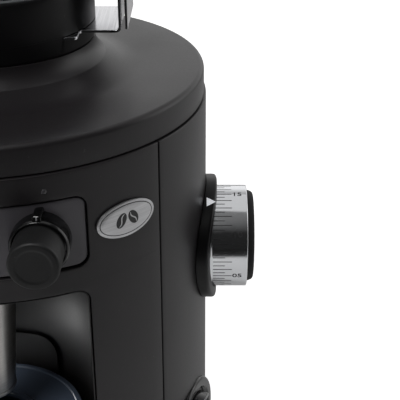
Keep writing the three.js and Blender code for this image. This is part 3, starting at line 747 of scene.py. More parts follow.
def ellipse(half_u: float, half_v: float, count: int, turn: float = 0.0, u: float = 0.0) -> Outline:
    """An ellipse: (a cos t, b sin t), turned and set along u.

    Args:
        half_u: half its width.
        half_v: half its height.
        count: points on its loop.
        turn: the angle it is turned by.
        u: where its middle lies.

    Returns:
        A function of growth that returns its loop.
    """

    def loop(grow: float = 0.0) -> Points:
        """The ellipse with both half axes grown."""
        t = np.linspace(0, 2 * math.pi, count, endpoint=False)
        x, y = (half_u + grow) * np.cos(t), (half_v + grow) * np.sin(t)
        c, s = math.cos(turn), math.sin(turn)
        return np.stack([u + c * x - s * y, s * x + c * y], 1)

    return loop


# ---------- Body ----------
@dataclass
class FrontCover:
    """The front skin of the body, with the control panel's pocket and the opening of the recess."""

    seam: float = math.radians(52.58)
    low: float = 20.3
    top_gap: float = 0.1
    edge: float = 0.4
    pocket_half: float = 41.9
    pocket_corner: float = 4.3
    recess_half: float = 40.5
    notch_gap: float = 0.95
    corner: float = 4.0
    wall: float = 3.0
    split: float = 42.0

    def pocket(self, grow: float = 0.0) -> Points:
        """Outline of the panel's pocket in (x, z), grown."""
        loop = rounded_rect(self.pocket_half + grow, 13.6 + grow, self.pocket_corner + grow, side=24)
        return loop + np.array([0, G - 23.3])

    def notch(self, half: float, grow: float = 0.0, straight: int = 26, arc: int = 6, top: int = 24) -> Points:
        """Path round the recess opening in (x, z): up its left side, over two rounded corners and down.

        Args:
            half: half its width before growth.
            grow: growth.
            straight: points on each side.
            arc: steps on each corner.
            top: steps across the top.

        Returns:
            A path of 2 * straight + 2 * arc + top + 1 points.
        """
        w = half + grow
        head = G - 47 + (half - self.recess_half) + grow
        r = self.corner + (half - self.recess_half) + grow
        up = np.stack([np.full(straight, -w), np.linspace(self.low, head - r, straight, endpoint=False)], 1)
        t = np.linspace(math.pi, math.pi / 2, arc + 1)
        bend = np.stack([-w + r + r * np.cos(t), head - r + r * np.sin(t)], 1)
        x = np.linspace(-w + r, w - r, top)[1:-1]
        over = np.stack([x, np.full(len(x), head)], 1)
        mirror = np.array([-1, 1])
        return np.concatenate([up, bend, over, bend[::-1] * mirror, up[::-1] * mirror])

    @staticmethod
    def to_arc(flat: Points) -> Points:
        """Turns (x, z) on the cylinder's front into (arc length, z): s = R asin(x / R)."""
        return np.stack([D.body_r * np.arcsin(np.clip(flat[:, 0] / D.body_r, -1, 1)), flat[:, 1]], 1)

    def skin(self) -> Piece:
        """The cover: an upper zone round the pocket, a lower band round the opening, and their rolled edges."""
        e, r = self.edge, D.body_r
        half = D.body_r * self.seam - e
        top, split = G - self.top_gap - e, G - self.split
        outer = rounded_rect(half, (top - split) / 2, 6.0, square=True, side=24) + np.array([0, (top + split) / 2])
        shell = Shell("front_cover_skin")
        hole = self.to_arc(self.pocket(e))
        shell.grid(wrap(blend_rows(hole, outer, 8), r), closed_u=True)
        rolled = roll(wrap(hole, r), wrap(self.to_arc(self.pocket()), r), across(self.pocket(), r) + [0, e, 0])
        deep = across(self.pocket(), 80.0)[None]
        floor = across(self.pocket(-2.5), 80.0)[None]
        shell.grid(np.concatenate([rolled, deep, floor]), closed_u=True)

        seam_line = outer[np.isclose(outer[:, 1], split)]
        seam_line = seam_line[np.argsort(seam_line[:, 0])]
        notch_half = self.recess_half + self.notch_gap
        sides, arc = 26, 6
        across_top = len(seam_line) - 2 * (arc // 2)
        inner = self.to_arc(self.notch(notch_half, e, sides, arc, across_top))
        count = len(inner)
        left = (count - len(seam_line)) // 2
        z = np.concatenate([inner[:sides, 1], np.linspace(inner[sides, 1], split, left - sides, endpoint=False)])
        side = np.stack([np.full(left, -half), z], 1)
        band = np.concatenate([side, seam_line, side[::-1] * [-1, 1]])
        rows = wrap(blend_rows(inner, band, 7), r)
        shell.grid(rows)
        corner = self.to_arc(self.notch(notch_half, 0, sides, arc, across_top))
        flat = wrap(corner, r)
        shell.grid(np.concatenate([roll(rows[0], flat, flat + [0, e, 0]), (flat + [0, self.wall, 0])[None]]))
        for edge_row in (rows[:, 0], rows[:, -1]):
            share = (r - self.wall) / r
            shell.grid(np.stack([edge_row, edge_row * [share, share, 1]]))

        up = outer[np.isclose(outer[:, 0], -half) & (outer[:, 1] > split + 1e-6) & (outer[:, 1] < top - 1e-6)]
        up = np.concatenate([side, np.array([[-half, split]]), up[np.argsort(up[:, 1])]])
        over = outer[np.isclose(outer[:, 1], top)]
        over = over[np.argsort(over[:, 0])]
        rim = np.concatenate([up, over, up[::-1] * [-1, 1]])
        push = np.zeros_like(rim)
        push[: len(up), 0], push[-len(up):, 0] = -e, e
        push[len(up): len(up) + len(over), 1] = e
        push[len(up)] = (-e, e)
        push[len(up) + len(over) - 1] = (e, e)
        strip = roll(wrap(rim, r), wrap(rim + push, r), wrap(rim + push, r - e))
        shell.grid(np.concatenate([strip, wrap(rim + push, r - self.wall)[None]]))
        return shell.build(sharp=40)

    def recess(self, half: float, front: float) -> Points:
        """The recess in plan: straight sides back to its middle, then a half circle of the same half width.

        Args:
            half: half width, which is the back's radius too.
            front: radius of the cylinder that the sides run out on.

        Returns:
            (n, 2) points from the left front round the back to the right front.
        """
        mouth = -math.sqrt(front**2 - half**2)
        y = np.linspace(mouth, RECESS_Y, 6)[:-1]
        t = np.linspace(math.pi, 0, 65)
        left = np.stack([np.full(len(y), -half), y], 1)
        back = np.stack([half * np.cos(t), RECESS_Y + half * np.sin(t)], 1)
        return np.concatenate([left, back, left[::-1] * [-1, 1]])

    def liner(self) -> Piece:
        """The lining of the recess: its plan carried up the wall, over a rounded corner and closed at the ceiling."""
        front, c = 81.35, self.corner
        head = G - 47
        t = np.linspace(0, math.pi / 2, 7)
        shelf = np.linspace(self.recess_half - c, 0, 12)[1:]
        profile = np.concatenate([
            np.stack([np.full(30, self.recess_half), np.linspace(self.low, head - c, 30, endpoint=False)], 1),
            np.stack([self.recess_half - c + c * np.cos(t), head - c + c * np.sin(t)], 1),
            np.stack([shelf, np.full(len(shelf), head)], 1),
        ])
        rows = np.stack([at_height(self.recess(max(h, 1e-4), front), z) for h, z in profile])
        shell = Shell("recess_liner").grid(rows, flip=True)

        def lip(grow: float, back: float) -> Points:
            """The liner's front edge, grown outwards and set back."""
            return across(self.notch(self.recess_half, grow), front) + [0, back, 0]

        edge = np.concatenate([
            roll(lip(0, 0), lip(0.2, -0.15), lip(0.45, 0.0)), lip(0.6, 0.3)[None], lip(0.6, 4.0)[None],
            lip(3.2, 4.0)[None],
        ])
        shell.grid(edge)
        return shell.build(sharp=35, outward=False)

    def mount_panel(self) -> Piece:
        """The plate on the recess's back wall: a rounded rectangle wrapped inside the half-round back."""
        foot, head, half, corner = 40.0, G - 96.5, 21.0, 7.5
        face_r, middle, high = 39.15, np.array([0, (foot + head) / 2]), (head - foot) / 2

        def inside(flat: Points, radius: float) -> Points:
            """Lays (x, z) points on the back wall: y = middle + sqrt(R^2 - x^2)."""
            return np.stack([flat[:, 0], RECESS_Y + np.sqrt(radius**2 - flat[:, 0] ** 2), flat[:, 1]], 1)

        def outline(grow: float) -> Points:
            """The plate's outline, grown."""
            return rounded_rect(half + grow, high + grow, max(corner + grow, 0.01), side=20) + middle

        face = [inside(outline(-t), face_r) for t in np.linspace(0.5, 20.9, 8)]
        rim = roll(inside(outline(0), face_r + 0.5), inside(outline(0), face_r), face[0], 4)
        rows = np.concatenate([inside(outline(0), 40.3)[None], rim, np.stack(face[1:])])
        return Shell("holder_mount_plate").grid(rows, closed_u=True).cap(face[-1]).build(outward=False)

    def build(self) -> None:
        """Makes the cover, its liner and the mount plate."""
        fit(self.skin(), "housing", ("front_cover",), "satin_black_paint", Look.SATIN)
        fit(self.liner(), "housing", ("front_cover",), "satin_black_paint", Look.LINER)
        fit(self.mount_panel(), "housing", ("holder_mount_panel",), "satin_black_paint", Look.LINER)


@dataclass
class RearHousing:
    """The rear skin of the body, from one seam round the back to the other."""

    seam: float = math.radians(53.02)
    low: float = 20.3
    top_gap: float = 0.1
    edge: float = 0.4
    wall: float = 3.0

    def build(self) -> None:
        """Makes the skin: rows of (s, z) on the cylinder, with all four edges rolled inwards."""
        r, e = D.body_r, self.edge
        full = 2 * math.pi - 2 * self.seam
        s = r * (self.seam + full * np.linspace(0, 1, 150))
        s[0] += e
        s[-1] -= e
        z = np.linspace(self.low + e, G - self.top_gap - e, 12)
        shell = Shell("rear_housing_skin")
        shell.grid(wrap(np.stack(np.meshgrid(s, z), -1), r))
        left, right = np.stack([0 * z + s[0], z], 1), np.stack([0 * z + s[-1], z], 1)
        foot, head = np.stack([s, 0 * s + z[0]], 1), np.stack([s, 0 * s + z[-1]], 1)
        rim = np.concatenate([foot, right[1:-1], head[::-1], left[1:-1][::-1]])
        push = np.sign(np.stack([
            np.isclose(rim[:, 0], s[-1]) * 1.0 - np.isclose(rim[:, 0], s[0]),
            np.isclose(rim[:, 1], z[-1]) * 1.0 - np.isclose(rim[:, 1], z[0]),
        ], 1)) * e
        strip = roll(wrap(rim, r), wrap(rim + push, r), wrap(rim + push, r - e))
        shell.grid(np.concatenate([strip, wrap(rim + push, r - self.wall)[None]]), closed_u=True)
        fit(shell.build(sharp=40), "housing", ("rear_housing",), "satin_black_paint", Look.SATIN)
        self.gland()

    @staticmethod
    def gland() -> None:
        """The ribbed cable gland low on the back."""
        ribs = [(7.9 - 0.35 * i - dip, 87.0 + 0.9 * i + rise, 0.0)
                for i in range(5) for dip, rise in ((0.0, 0.0), (0.5, 0.55))]
        piece = round_piece(
            "cable_gland_boot",
            [(3.6, 74, 0), (7, 74, 0.3), (7, 82.3, 0), (10, 82.3, 0.2), (10, 86, 0.8), *ribs, (6.0, 92, 0.4),
             (3.6, 92, 0.4)],
            lambda p: out_of_body(p, 180, 40), 64, closed=True,
        )
        fit(piece, "housing", ("cable_gland",), "matte_black_plastic", Look.RUBBER)


@dataclass
class TopCover:
    """The top cover: a flat disc with a softened edge that rises in a concave flare to a thin lip."""

    radius: float = 81.2
    edge: float = 1.9
    flare_out: float = 56.5
    lip_r: float = 39.6

    def build(self) -> None:
        """Turns the profile; the flare is a quarter ellipse, flat where it leaves the disc."""
        top, lip = G + 11.1, G + 22.4
        t = np.linspace(0, math.pi / 2, 26)
        flare = np.stack([
            self.flare_out - (self.flare_out - self.lip_r) * np.sin(t), top + (lip - top) * (1 - np.cos(t)),
        ], 1)
        outside = rounded_profile(
            [(78.6, G - 4, 0), (78.6, G + 0.4, 0), (self.radius, G + 0.4, 0.2), (self.radius, top, self.edge),
             (70, top, 0)], 9)
        inside = rounded_profile([
            (self.lip_r, lip, 0), (self.lip_r - 0.25, lip + 0.1, 0), (38, lip + 0.1, 0.2), (30.8, lip, 0.2),
            (30.8, G - 1, 0), (33.2, G - 1, 0), (33.2, lip - 3, 0), (self.lip_r, lip - 5, 0),
            (self.flare_out, top - 3, 0), (76.4, top - 3, 0), (76.4, G - 4, 0),
        ])
        disc = np.stack([np.linspace(68, 57.5, 6), np.full(6, top)], 1)
        profile = np.concatenate([outside, disc, flare[:-1], inside])
        piece = Shell("top_cover_shell").grid(lathe(profile, 256), closed_u=True, closed_v=True).build(38)
        fit(piece, "housing", ("top_cover",), "satin_black_paint", Look.SATIN)


@dataclass
class Base:
    """The base with its round nose, the drip tray in it, the bottom plate and four feet."""

    large: float = 84.0
    small: float = 52.0
    nose_y: float = -62.0
    recess_half: float = 39.5

    def outline(self, inset: float = 0.0) -> Points:
        """Plan of the base: two circles joined by their common tangents.

        Args:
            inset: how far inside its edge.

        Returns:
            An (n, 2) loop from the nose's tip anticlockwise.
        """
        big, little = self.large - inset, self.small - inset
        tilt = math.asin((big - little) / -self.nose_y)
        a = np.linspace(-math.pi / 2, -tilt, 40)
        nose = np.stack([little * np.cos(a), self.nose_y + little * np.sin(a)], 1)
        b = np.linspace(-tilt, math.pi / 2, 50)
        back = np.stack([big * np.cos(b), big * np.sin(b)], 1)
        half = np.concatenate([nose, back])
        return np.concatenate([half, half[-2:0:-1] * [-1, 1]])

    def build(self) -> None:
        """Makes the base, tray, bottom plate and feet."""
        self.casting()
        self.tray()
        dress(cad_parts["bottom_plate"], Look.MATTE)
        for name in ("foot_front_left", "foot_front_right", "foot_rear_left", "foot_rear_right"):
            low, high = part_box(name)
            x = (low.x + high.x) / 2 / MM - D.axis_x / MM
            y = (low.y + high.y) / 2 / MM - D.axis_y / MM
            piece = round_piece(
                name + "_pad",
                [(0, 0.6, 0), (5.6, 0.6, 0.3), (6.1, 0, 0.3), (8, 0, 0.6), (8.6, 2.6, 0.5), (9, 4.7, 0.3),
                 (0, 4.7, 0)],
                lambda p, x=x, y=y: p + np.array([x, y, 0]), 64,
            )
            fit(piece, "housing", (name,), "black_rubber", Look.RUBBER)

    def casting(self) -> None:
        """The base's outer wall and rounded top, with the tray's seat cut in its nose."""
        def at(inset: float, z: float) -> Points:
            """The outline at an inset and a height."""
            return at_height(self.outline(inset), z)

        side = [at(4, 5), at(0.4, 5), at(0, 5.4), at(0, 12), at(0, 18.2)]
        side += list(roll(at(0, 18.2), at(0, 20), at(1.8, 20), 7))[1:]
        shell = Shell("base_casting_shell").grid(np.stack(side), closed_u=True)
        rim = self.outline(1.8)
        n = len(rim)
        half = self.recess_half
        tray = FrontCover().recess(half, 110.0)[::-1][6:-6]
        cut = int(np.argmax(rim[: n // 2, 0] > half))
        edge = np.concatenate([rim[cut: n // 2 + 1], rim[n // 2 + 1: n - cut + 1]])
        f = np.linspace(0, 1, len(edge))
        along = np.concatenate([[0], np.cumsum(np.linalg.norm(np.diff(tray, axis=0), axis=1))])
        inner = np.stack([np.interp(f * along[-1], along, tray[:, k]) for k in (0, 1)], 1)
        top = blend_rows(at_height(inner, 20.0), at_height(edge, 20.0), 6)
        shell.grid(top).grid(np.stack([top[0], top[0] + [0, 0, -3.0]]))
        fit(shell.build(35), "housing", ("base_casting",), "satin_black_paint", Look.SATIN)

    def tray(self) -> None:
        """The drip tray: a plate that fills the nose, with a spill groove round it."""
        half = self.recess_half - 0.3

        def outline(grow: float) -> Points:
            """The tray's plan: the recess's half-round back and the base's round nose.

            Args:
                grow: how far outside its edge.

            Returns:
                An (n, 2) loop.
            """
            w = half + grow
            little = self.small + grow
            t = np.linspace(0, math.pi, 61)
            back = np.stack([w * np.cos(t), RECESS_Y + w * np.sin(t)], 1)
            meet = math.acos(w / little)
            a = np.linspace(meet - math.pi, -meet, 61)
            nose = np.stack([little * np.cos(a), self.nose_y + little * np.sin(a)], 1)
            return np.concatenate([back, nose])

        def at(inset: float, z: float) -> Points:
            """The plan at an inset and a height."""
            return at_height(outline(-inset), z)

        rows = np.stack([
            at(0, 17.3), at(0, 19.4), at(0.15, 19.85), at(0.5, 20), at(2.2, 20), at(2.6, 19.8), at(2.9, 18.9),
            at(3.6, 18.7), at(4.4, 18.7), at(5.1, 18.9), at(5.4, 19.8), at(5.8, 20), at(12, 20), at(24, 20),
        ])
        piece = Shell("drip_tray_plate").grid(rows, closed_u=True).cap(rows[-1]).cap(rows[0], True).build(40)
        fit(piece, "tray", ("drip_tray",), "satin_black_paint", Look.LINER)


# ---------- Controls on the front ----------
@dataclass
class ControlPanel:
    """The inset panel with its selector knob, the ring round it, the lamp and the badge."""

    half: float = 41.2
    half_high: float = 12.9
    corner: float = 3.6
    face: float = 81.3
    knob_x: float = 27.1
    lamp_deg: float = 20.8
    badge_deg: float = 41.2

    @property
    def knob_z(self) -> float:
        """Height of the knob."""
        return G - 23.4

    def panel(self) -> Piece:
        """The panel: a rounded rectangle on the front of a cylinder, its edge rolled."""
        middle = np.array([0, G - 23.3])

        def outline(t: float) -> Points:
            """The outline shrunk by t."""
            return rounded_rect(self.half - t, self.half_high - t, max(self.corner - t, 0.0), side=24) + middle

        edge = 0.4
        rim = roll(across(outline(0), self.face - edge), across(outline(0), self.face),
                   across(outline(edge), self.face), 4)
        fill = [across(outline(t), self.face) for t in np.linspace(edge, self.half_high, 10)[1:]]
        rows = np.concatenate([across(outline(0), 80.3)[None], rim, np.stack(fill)])
        return Shell("control_panel_face").grid(rows, closed_u=True).build(40)

    def build(self) -> None:
        """Makes the panel and what it carries."""
        # The panel's grey is partly a painted reflection over its own dark tone.
        fit(self.panel(), "housing", ("control_panel",), "panel_grey", Look.PANEL)

        def at(p: Points) -> Points:
            """Sets a turned piece at the knob."""
            return to_front(p, self.knob_x, self.knob_z)

        ring = round_piece(
            "knob_ring_collar", [(8.95, 76, 0), (10.1, 76, 0), (10.1, 82.6, 0.7), (9.6, 83.5, 0.4), (8.95, 83.5, 0.25)],
            at, 96, closed=True)
        fit(ring, "housing", ("knob_ring",), "gloss_black_plastic", Look.GLOSS)
        tab = plate("knob_ring_tab", lambda g: rounded_rect(1.5 + g, 1.6 + g, 0.8 + g) + [0, 10.2],
                    76, 83.2, 0.5, at)
        fit(tab, "housing", ("knob_ring",), "gloss_black_plastic", Look.GLOSS)
        line = plate("knob_ring_index", lambda g: rounded_rect(0.25 + g, 0.7 + g, 0.1 + g, side=3, arc=2) + [0, 10.9],
                     83.0, 83.28, 0.03, at)
        fit(line, "housing", ("knob_ring",), "white_ink", Look.MARK)
        knob = round_piece(
            "selector_knob_grip",
            [(0, 72, 0), (3, 72, 0), (3, 81.4, 0), (8.4, 81.4, 0.3), (8.6, 83, 0), (8.6, 95.3, 1.5), (6.4, 95.3, 0.4),
             (5.6, 95.1, 0.5), (0, 95.05, 0)], at, 96, steps=8)
        fit(knob, "selector", ("selector_knob",), "matte_black_plastic", Look.MATTE)
        lamp = round_piece(
            "indicator_lens", [(0, 79, 0), (0.9, 79, 0), (0.9, 82.15, 0.2), (0.5, 82.4, 0.4), (0, 82.45, 0)],
            lambda p: out_of_body(p, self.lamp_deg, G - 6), 32)
        fit(lamp, "housing", ("indicator_light",), "white_ink", Look.LAMP)
        self.badge()

    def on_skin(self, rows: Points) -> Points:
        """Wraps (u, v, radius) points on the skin round the badge's middle.

        Args:
            rows: (..., 3) points.

        Returns:
            (..., 3) own millimetres.
        """
        s = D.body_r * math.radians(self.badge_deg) + rows[..., 0]
        a = s / D.body_r
        radius = rows[..., 2]
        return np.stack([radius * np.sin(a), -radius * np.cos(a), rows[..., 1] + self.knob_z], -1)

    def relief(self, name: str, outline: Outline, high: float, look: Look, low: float = 82.9,
               edge: float = 0.02) -> None:
        """Adds a low wrapped plate of the badge, filled from its rim to its middle.

        Args:
            name: the piece's name.
            outline: function of growth that returns its loop.
            high: radius of its face.
            look: its finish.
            low: radius of its foot.
            edge: radius of its rolled edge.
        """
        rim = plate_rows(outline, low, high, edge, 3)
        loop = outline(-edge)
        middle = loop.mean(0)
        fill = [at_height(middle + (loop - middle) * f, high) for f in (0.75, 0.5, 0.25, 0.0)]
        rows = np.concatenate([rim, np.stack(fill)])
        piece = Shell(name).grid(self.on_skin(rows), closed_u=True).build(50)
        fit(piece, "housing", ("badge_plate",), "brushed_steel", look)

    @staticmethod
    def crease(turn: float, x: float) -> Points:
        """A bean's crease: a slim ribbon along v = 0.45 sin(pi t), turned and set along u.

        Args:
            turn: the bean's angle.
            x: where its middle lies.

        Returns:
            (2, n, 3) rows, its two long edges.
        """
        t = np.linspace(-1, 1, 20)
        spine = np.stack([2.6 * t, 0.45 * np.sin(math.pi * t)], 1)
        width = np.stack([0 * t, 0.24 * np.sqrt(np.clip(1 - t**2, 0.02, 1))], 1)
        c, s = math.cos(turn), math.sin(turn)
        rows = np.stack([spine + width, spine - width]) @ np.array([[c, s], [-s, c]]) + [x, 0]
        return np.stack([at_height(row, 83.13) for row in rows])

    def badge(self) -> None:
        """The oval badge: a brushed plate with a dark inner line and two coffee beans in the middle."""
        self.relief("badge_oval", ellipse(12.2, 6.6, 96), 83.0, Look.PLATE, 82.3, 0.1)
        self.relief("badge_line", ellipse(11.2, 5.7, 96), 83.02, Look.INK)
        self.relief("badge_field", ellipse(10.85, 5.35, 96), 83.04, Look.PLATE)
        for side, turn, x in (("left", math.pi / 2 - 0.5, -2.5), ("right", math.pi / 2 + 0.5, 2.5)):
            self.relief("badge_bean_" + side, ellipse(2.9, 1.9, 48, turn, x), 83.1, Look.INK, edge=0.04)
            piece = Shell("badge_crease_" + side).grid(self.on_skin(self.crease(turn, x))).build(outward=False)
            fit(piece, "housing", ("badge_plate",), "brushed_steel", Look.PLATE)


# ---------- Grind dial ----------
@dataclass
class GrindDial:
    """The grind dial: its fixed bezel and pointer, the graduated drum and the rubber cap."""

    drum_r: float = 21.2
    bezel_in: float = 21.7
    bezel_out: float = 25.9
    pitch: float = math.radians(360 / 35)
    start: float = math.radians(61.0)
    first: float = 84.9
    end: float = 98.9
    cap_end: float = 101.7
    mark_long: float = 7.6
    mark_short: float = 4.8
    mark_half: float = 0.16
    number_x: float = 7.8
    number_width: float = 1.25

    @property
    def z(self) -> float:
        """Height of the dial."""
        return G - 64.5

    def conformal(self, rho: float, cylinder: float, count: int = 128) -> Points:
        """A circle about the dial's axis laid on an upright cylinder: x = sqrt(Rc^2 - y^2).

        Args:
            rho: the circle's radius.
            cylinder: the cylinder's radius.
            count: points on the circle.

        Returns:
            (count, 3) points.
        """
        t = np.linspace(0, 2 * math.pi, count, endpoint=False)
        y, z = rho * np.sin(t), rho * np.cos(t)
        return np.stack([np.sqrt(cylinder**2 - y**2), y, self.z + z], 1)

    def bezel(self) -> Piece:
        """The bezel: a ring whose face follows the body, both edges rolled."""
        c = self.conformal
        foot, face, e = 82.3, 86.6, 1.1
        rows = np.concatenate([
            c(self.bezel_out, foot)[None], c(self.bezel_out, face - e)[None],
            roll(c(self.bezel_out, face - e), c(self.bezel_out, face), c(self.bezel_out - e, face), 6)[1:],
            roll(c(self.bezel_in + 0.6, face), c(self.bezel_in, face), c(self.bezel_in, face - 0.6), 4),
            c(self.bezel_in, foot)[None],
        ])
        return Shell("dial_bezel_ring").grid(rows, closed_u=True, closed_v=True).build(40)

    def on_drum(self, flat: Points, angle: float, lift: float = 0.03) -> Points:
        """Wraps (x, t) points on the drum.

        Args:
            flat: (..., 2) points; t is measured round the drum.
            angle: where t starts, in radians forward of its top.
            lift: height above the drum.

        Returns:
            (..., 3) points.
        """
        a = angle + flat[..., 1] / self.drum_r
        r = self.drum_r + lift
        return np.stack([flat[..., 0], -r * np.sin(a), self.z + r * np.cos(a)], -1)

    def marks(self) -> Piece:
        """Every mark of the scale as one mesh: a long one each division and a short one each half."""
        shell = Shell("dial_marks")
        for i in range(70):
            length = self.mark_short if i % 2 else self.mark_long
            angle = self.start - (i / 2 - 10) * self.pitch
            x = np.array([self.first, self.first + length])
            rows = np.stack(np.meshgrid(x, np.linspace(-self.mark_half, self.mark_half, 3)), -1)
            shell.grid(self.on_drum(rows, angle), flip=True)
        return shell.build(outward=False)

    def number(self, value: int) -> Piece:
        """A number of the scale, its outline filled and wrapped on the drum.

        Args:
            value: the number.

        Returns:
            The mesh object.
        """
        curve = bpy.data.curves.new("numeral", "FONT")
        curve.body = f"{value:02d}"
        curve.size = 3.25
        curve.offset = 0.05
        curve.align_y = "CENTER"
        curve.resolution_u = 3
        maker = bpy.data.objects.new("numeral", curve)
        bpy.context.scene.collection.objects.link(maker)
        bpy.context.view_layer.update()
        mesh = bpy.data.meshes.new_from_object(maker)
        bpy.data.objects.remove(maker)
        co = np.zeros(len(mesh.vertices) * 3)
        mesh.vertices.foreach_get("co", co)
        co = co.reshape(-1, 3)
        angle = self.start - (value - 10) * self.pitch
        flat = np.stack([self.first + self.number_x + self.number_width * co[:, 0], -co[:, 1]], 1)
        placed = D.place(self.on_drum(flat, angle, 0.04))
        mesh.vertices.foreach_set("co", placed.ravel())
        mesh.update()
        name = f"dial_number_{value:02d}"
        mesh.name = name
        piece = bpy.data.objects.new(name, mesh)
        bpy.context.scene.collection.objects.link(piece)
        return piece

    def build(self) -> None:
        """Makes the bezel, pointer, drum with its scale, and cap."""
        fit(self.bezel(), "housing", ("dial_bezel",), "satin_black_paint", Look.RING)
        z = self.z

        def at(p: Points) -> Points:
            """Sets a turned piece on the dial's axis."""
            return to_right(p, z)

        drum = round_piece(
            "dial_drum_barrel",
            [(18, 82.7, 0), (21.6, 82.7, 0.1), (21.6, 83.9, 0.15), (21.17, 84.5, 0.2), (21.2, 86, 0.5),
             (21.2, self.end, 0.5), (19.6, self.end, 0.2), (19.3, 98.3, 0), (4.3, 98.3, 0), (4.3, 84, 0),
             (9, 84, 0), (9, 93, 0), (18, 93, 0)], at, 192, closed=True, steps=7)
        fit(drum, "dial", ("dial_drum",), "chrome", Look.CHROME)
        cap = round_piece(
            "dial_cap_grip",
            [(0, 98.6, 0), (19.0, 98.6, 0.1), (19.1, 99.3, 0.5), (18.3, self.cap_end, 1.9), (15.6, self.cap_end, 0.4),
             (15.0, self.cap_end - 0.3, 0.4), (0, self.cap_end - 0.4, 0)], at, 128, steps=8)
        fit(cap, "dial", ("dial_cap",), "black_rubber", Look.RUBBER)
        fit(self.marks(), "dial", ("dial_drum",), "chrome", Look.INK)
        for value in range(0, 35, 5):
            fit(self.number(value), "dial", ("dial_drum",), "chrome", Look.INK)
        self.pointer()

    def pointer(self) -> None:
        """The white triangle on the bezel's rim, which points along the dial; its finish glows a little, a painted
        highlight, though it is no lamp.
        """
        def loop(grow: float = 0.0) -> Points:
            """The triangle in (x, t), with points along its edges."""
            corners = np.array([(82.3 - grow, -2.0 - grow), (85.8 + grow, 0.0), (82.3 - grow, 2.0 + grow)])
            f = np.linspace(0, 1, 9)[:-1, None]
            return np.concatenate([corners[i] + (corners[(i + 1) % 3] - corners[i]) * f for i in range(3)])

        middle = loop().mean(0)
        rows = []
        for share, high in ((1.0, 0.0), (1.0, 0.3), (0.93, 0.36), (0.5, 0.36), (0.0, 0.36)):
            flat = middle + (loop() - middle) * share
            a = math.radians(30.5) + flat[:, 1] / self.bezel_out
            r = self.bezel_out + 0.02 + high
            rows.append(np.stack([flat[:, 0], -r * np.sin(a), self.z + r * np.cos(a)], 1))
        piece = Shell("dial_pointer_mark").grid(np.stack(rows), closed_u=True).build(30)
        fit(piece, "housing", ("dial_pointer",), "white_ink", Look.POINTER)


# ---------- Power switch ----------
@dataclass
class PowerSwitch:
    """The round rocker switch on the right side and its bezel."""

    degrees: float = 70.0
    radius: float = 20.1
    rocker: float = 14.2
    tip: float = math.radians(8)
    sink: float = 2.2

    @property
    def z(self) -> float:
        """Height of the switch."""
        return G - 141.2

    def on_rocker(self, x: Points, y: Points, lift: float) -> Points:
        """Lays points on the rocker's shallow V face, w = 84.4 + 0.18 sqrt(y^2 + 0.6), tipped about its hinge.

        Args:
            x: how far along the hinge.
            y: how far across it.
            lift: height above the face.

        Returns:
            (n, 3) points about Z.
        """
        hinge = 80
        w = 84.4 + 0.18 * np.sqrt(y**2 + 0.6) + lift - hinge
        c, s = math.cos(self.tip), math.sin(self.tip)
        return np.stack([x, c * y - s * w, s * y + c * w + hinge], 1)

    def build(self) -> None:
        """Makes the bezel and the rocker."""
        def at(p: Points) -> Points:
            """Sinks a turned piece into its seat and points it out of the body."""
            return out_of_body(p - np.array([0, 0, self.sink]), self.degrees, self.z)

        bezel = round_piece(
            "switch_bezel_ring",
            [(15.05, 76, 0), (15.8, 76, 0), (15.8, 79.9, 0), (19.0, 79.9, 0), (20.1, 79.6, 0), (20.1, 85.2, 1.3),
             (16.1, 85.2, 0.6), (15.05, 83.6, 0.4)], at, 128, closed=True, steps=7)
        fit(bezel, "housing", ("switch_bezel",), "gloss_black_plastic", Look.GLOSS)
        t = np.linspace(0, 2 * math.pi, 96, endpoint=False)

        def ring(radius: float, drop: float = 0.0) -> Points:
            """A ring of the rocker, so far below its face."""
            return self.on_rocker(radius * np.cos(t), radius * np.sin(t), -drop)

        r = self.rocker
        rows = [ring(r, 6.0), ring(r, 0.5), ring(r - 0.15, 0.15), ring(r - 0.5)]
        rows += [ring(inner) for inner in np.linspace(r - 0.5, 0, 15)[1:]]
        piece = Shell("switch_rocker_cap").grid(at(np.stack(rows)), closed_u=True).build(40)
        fit(piece, "switch", ("switch_rocker",), "gloss_black_plastic", Look.GLOSS)
        x, y = rounded_rect(0.3, 1.7, 0.12, side=8, arc=2).T
        middle = 6.6
        rows = [self.on_rocker(x * share, y * share + middle, lift) for share, lift in ((1, 0.0), (1, 0.06), (0, 0.06))]
        mark = Shell("switch_mark_on").grid(at(np.stack(rows)), closed_u=True).build(40)
        fit(mark, "switch", ("switch_rocker",), "white_ink", Look.WHITE)


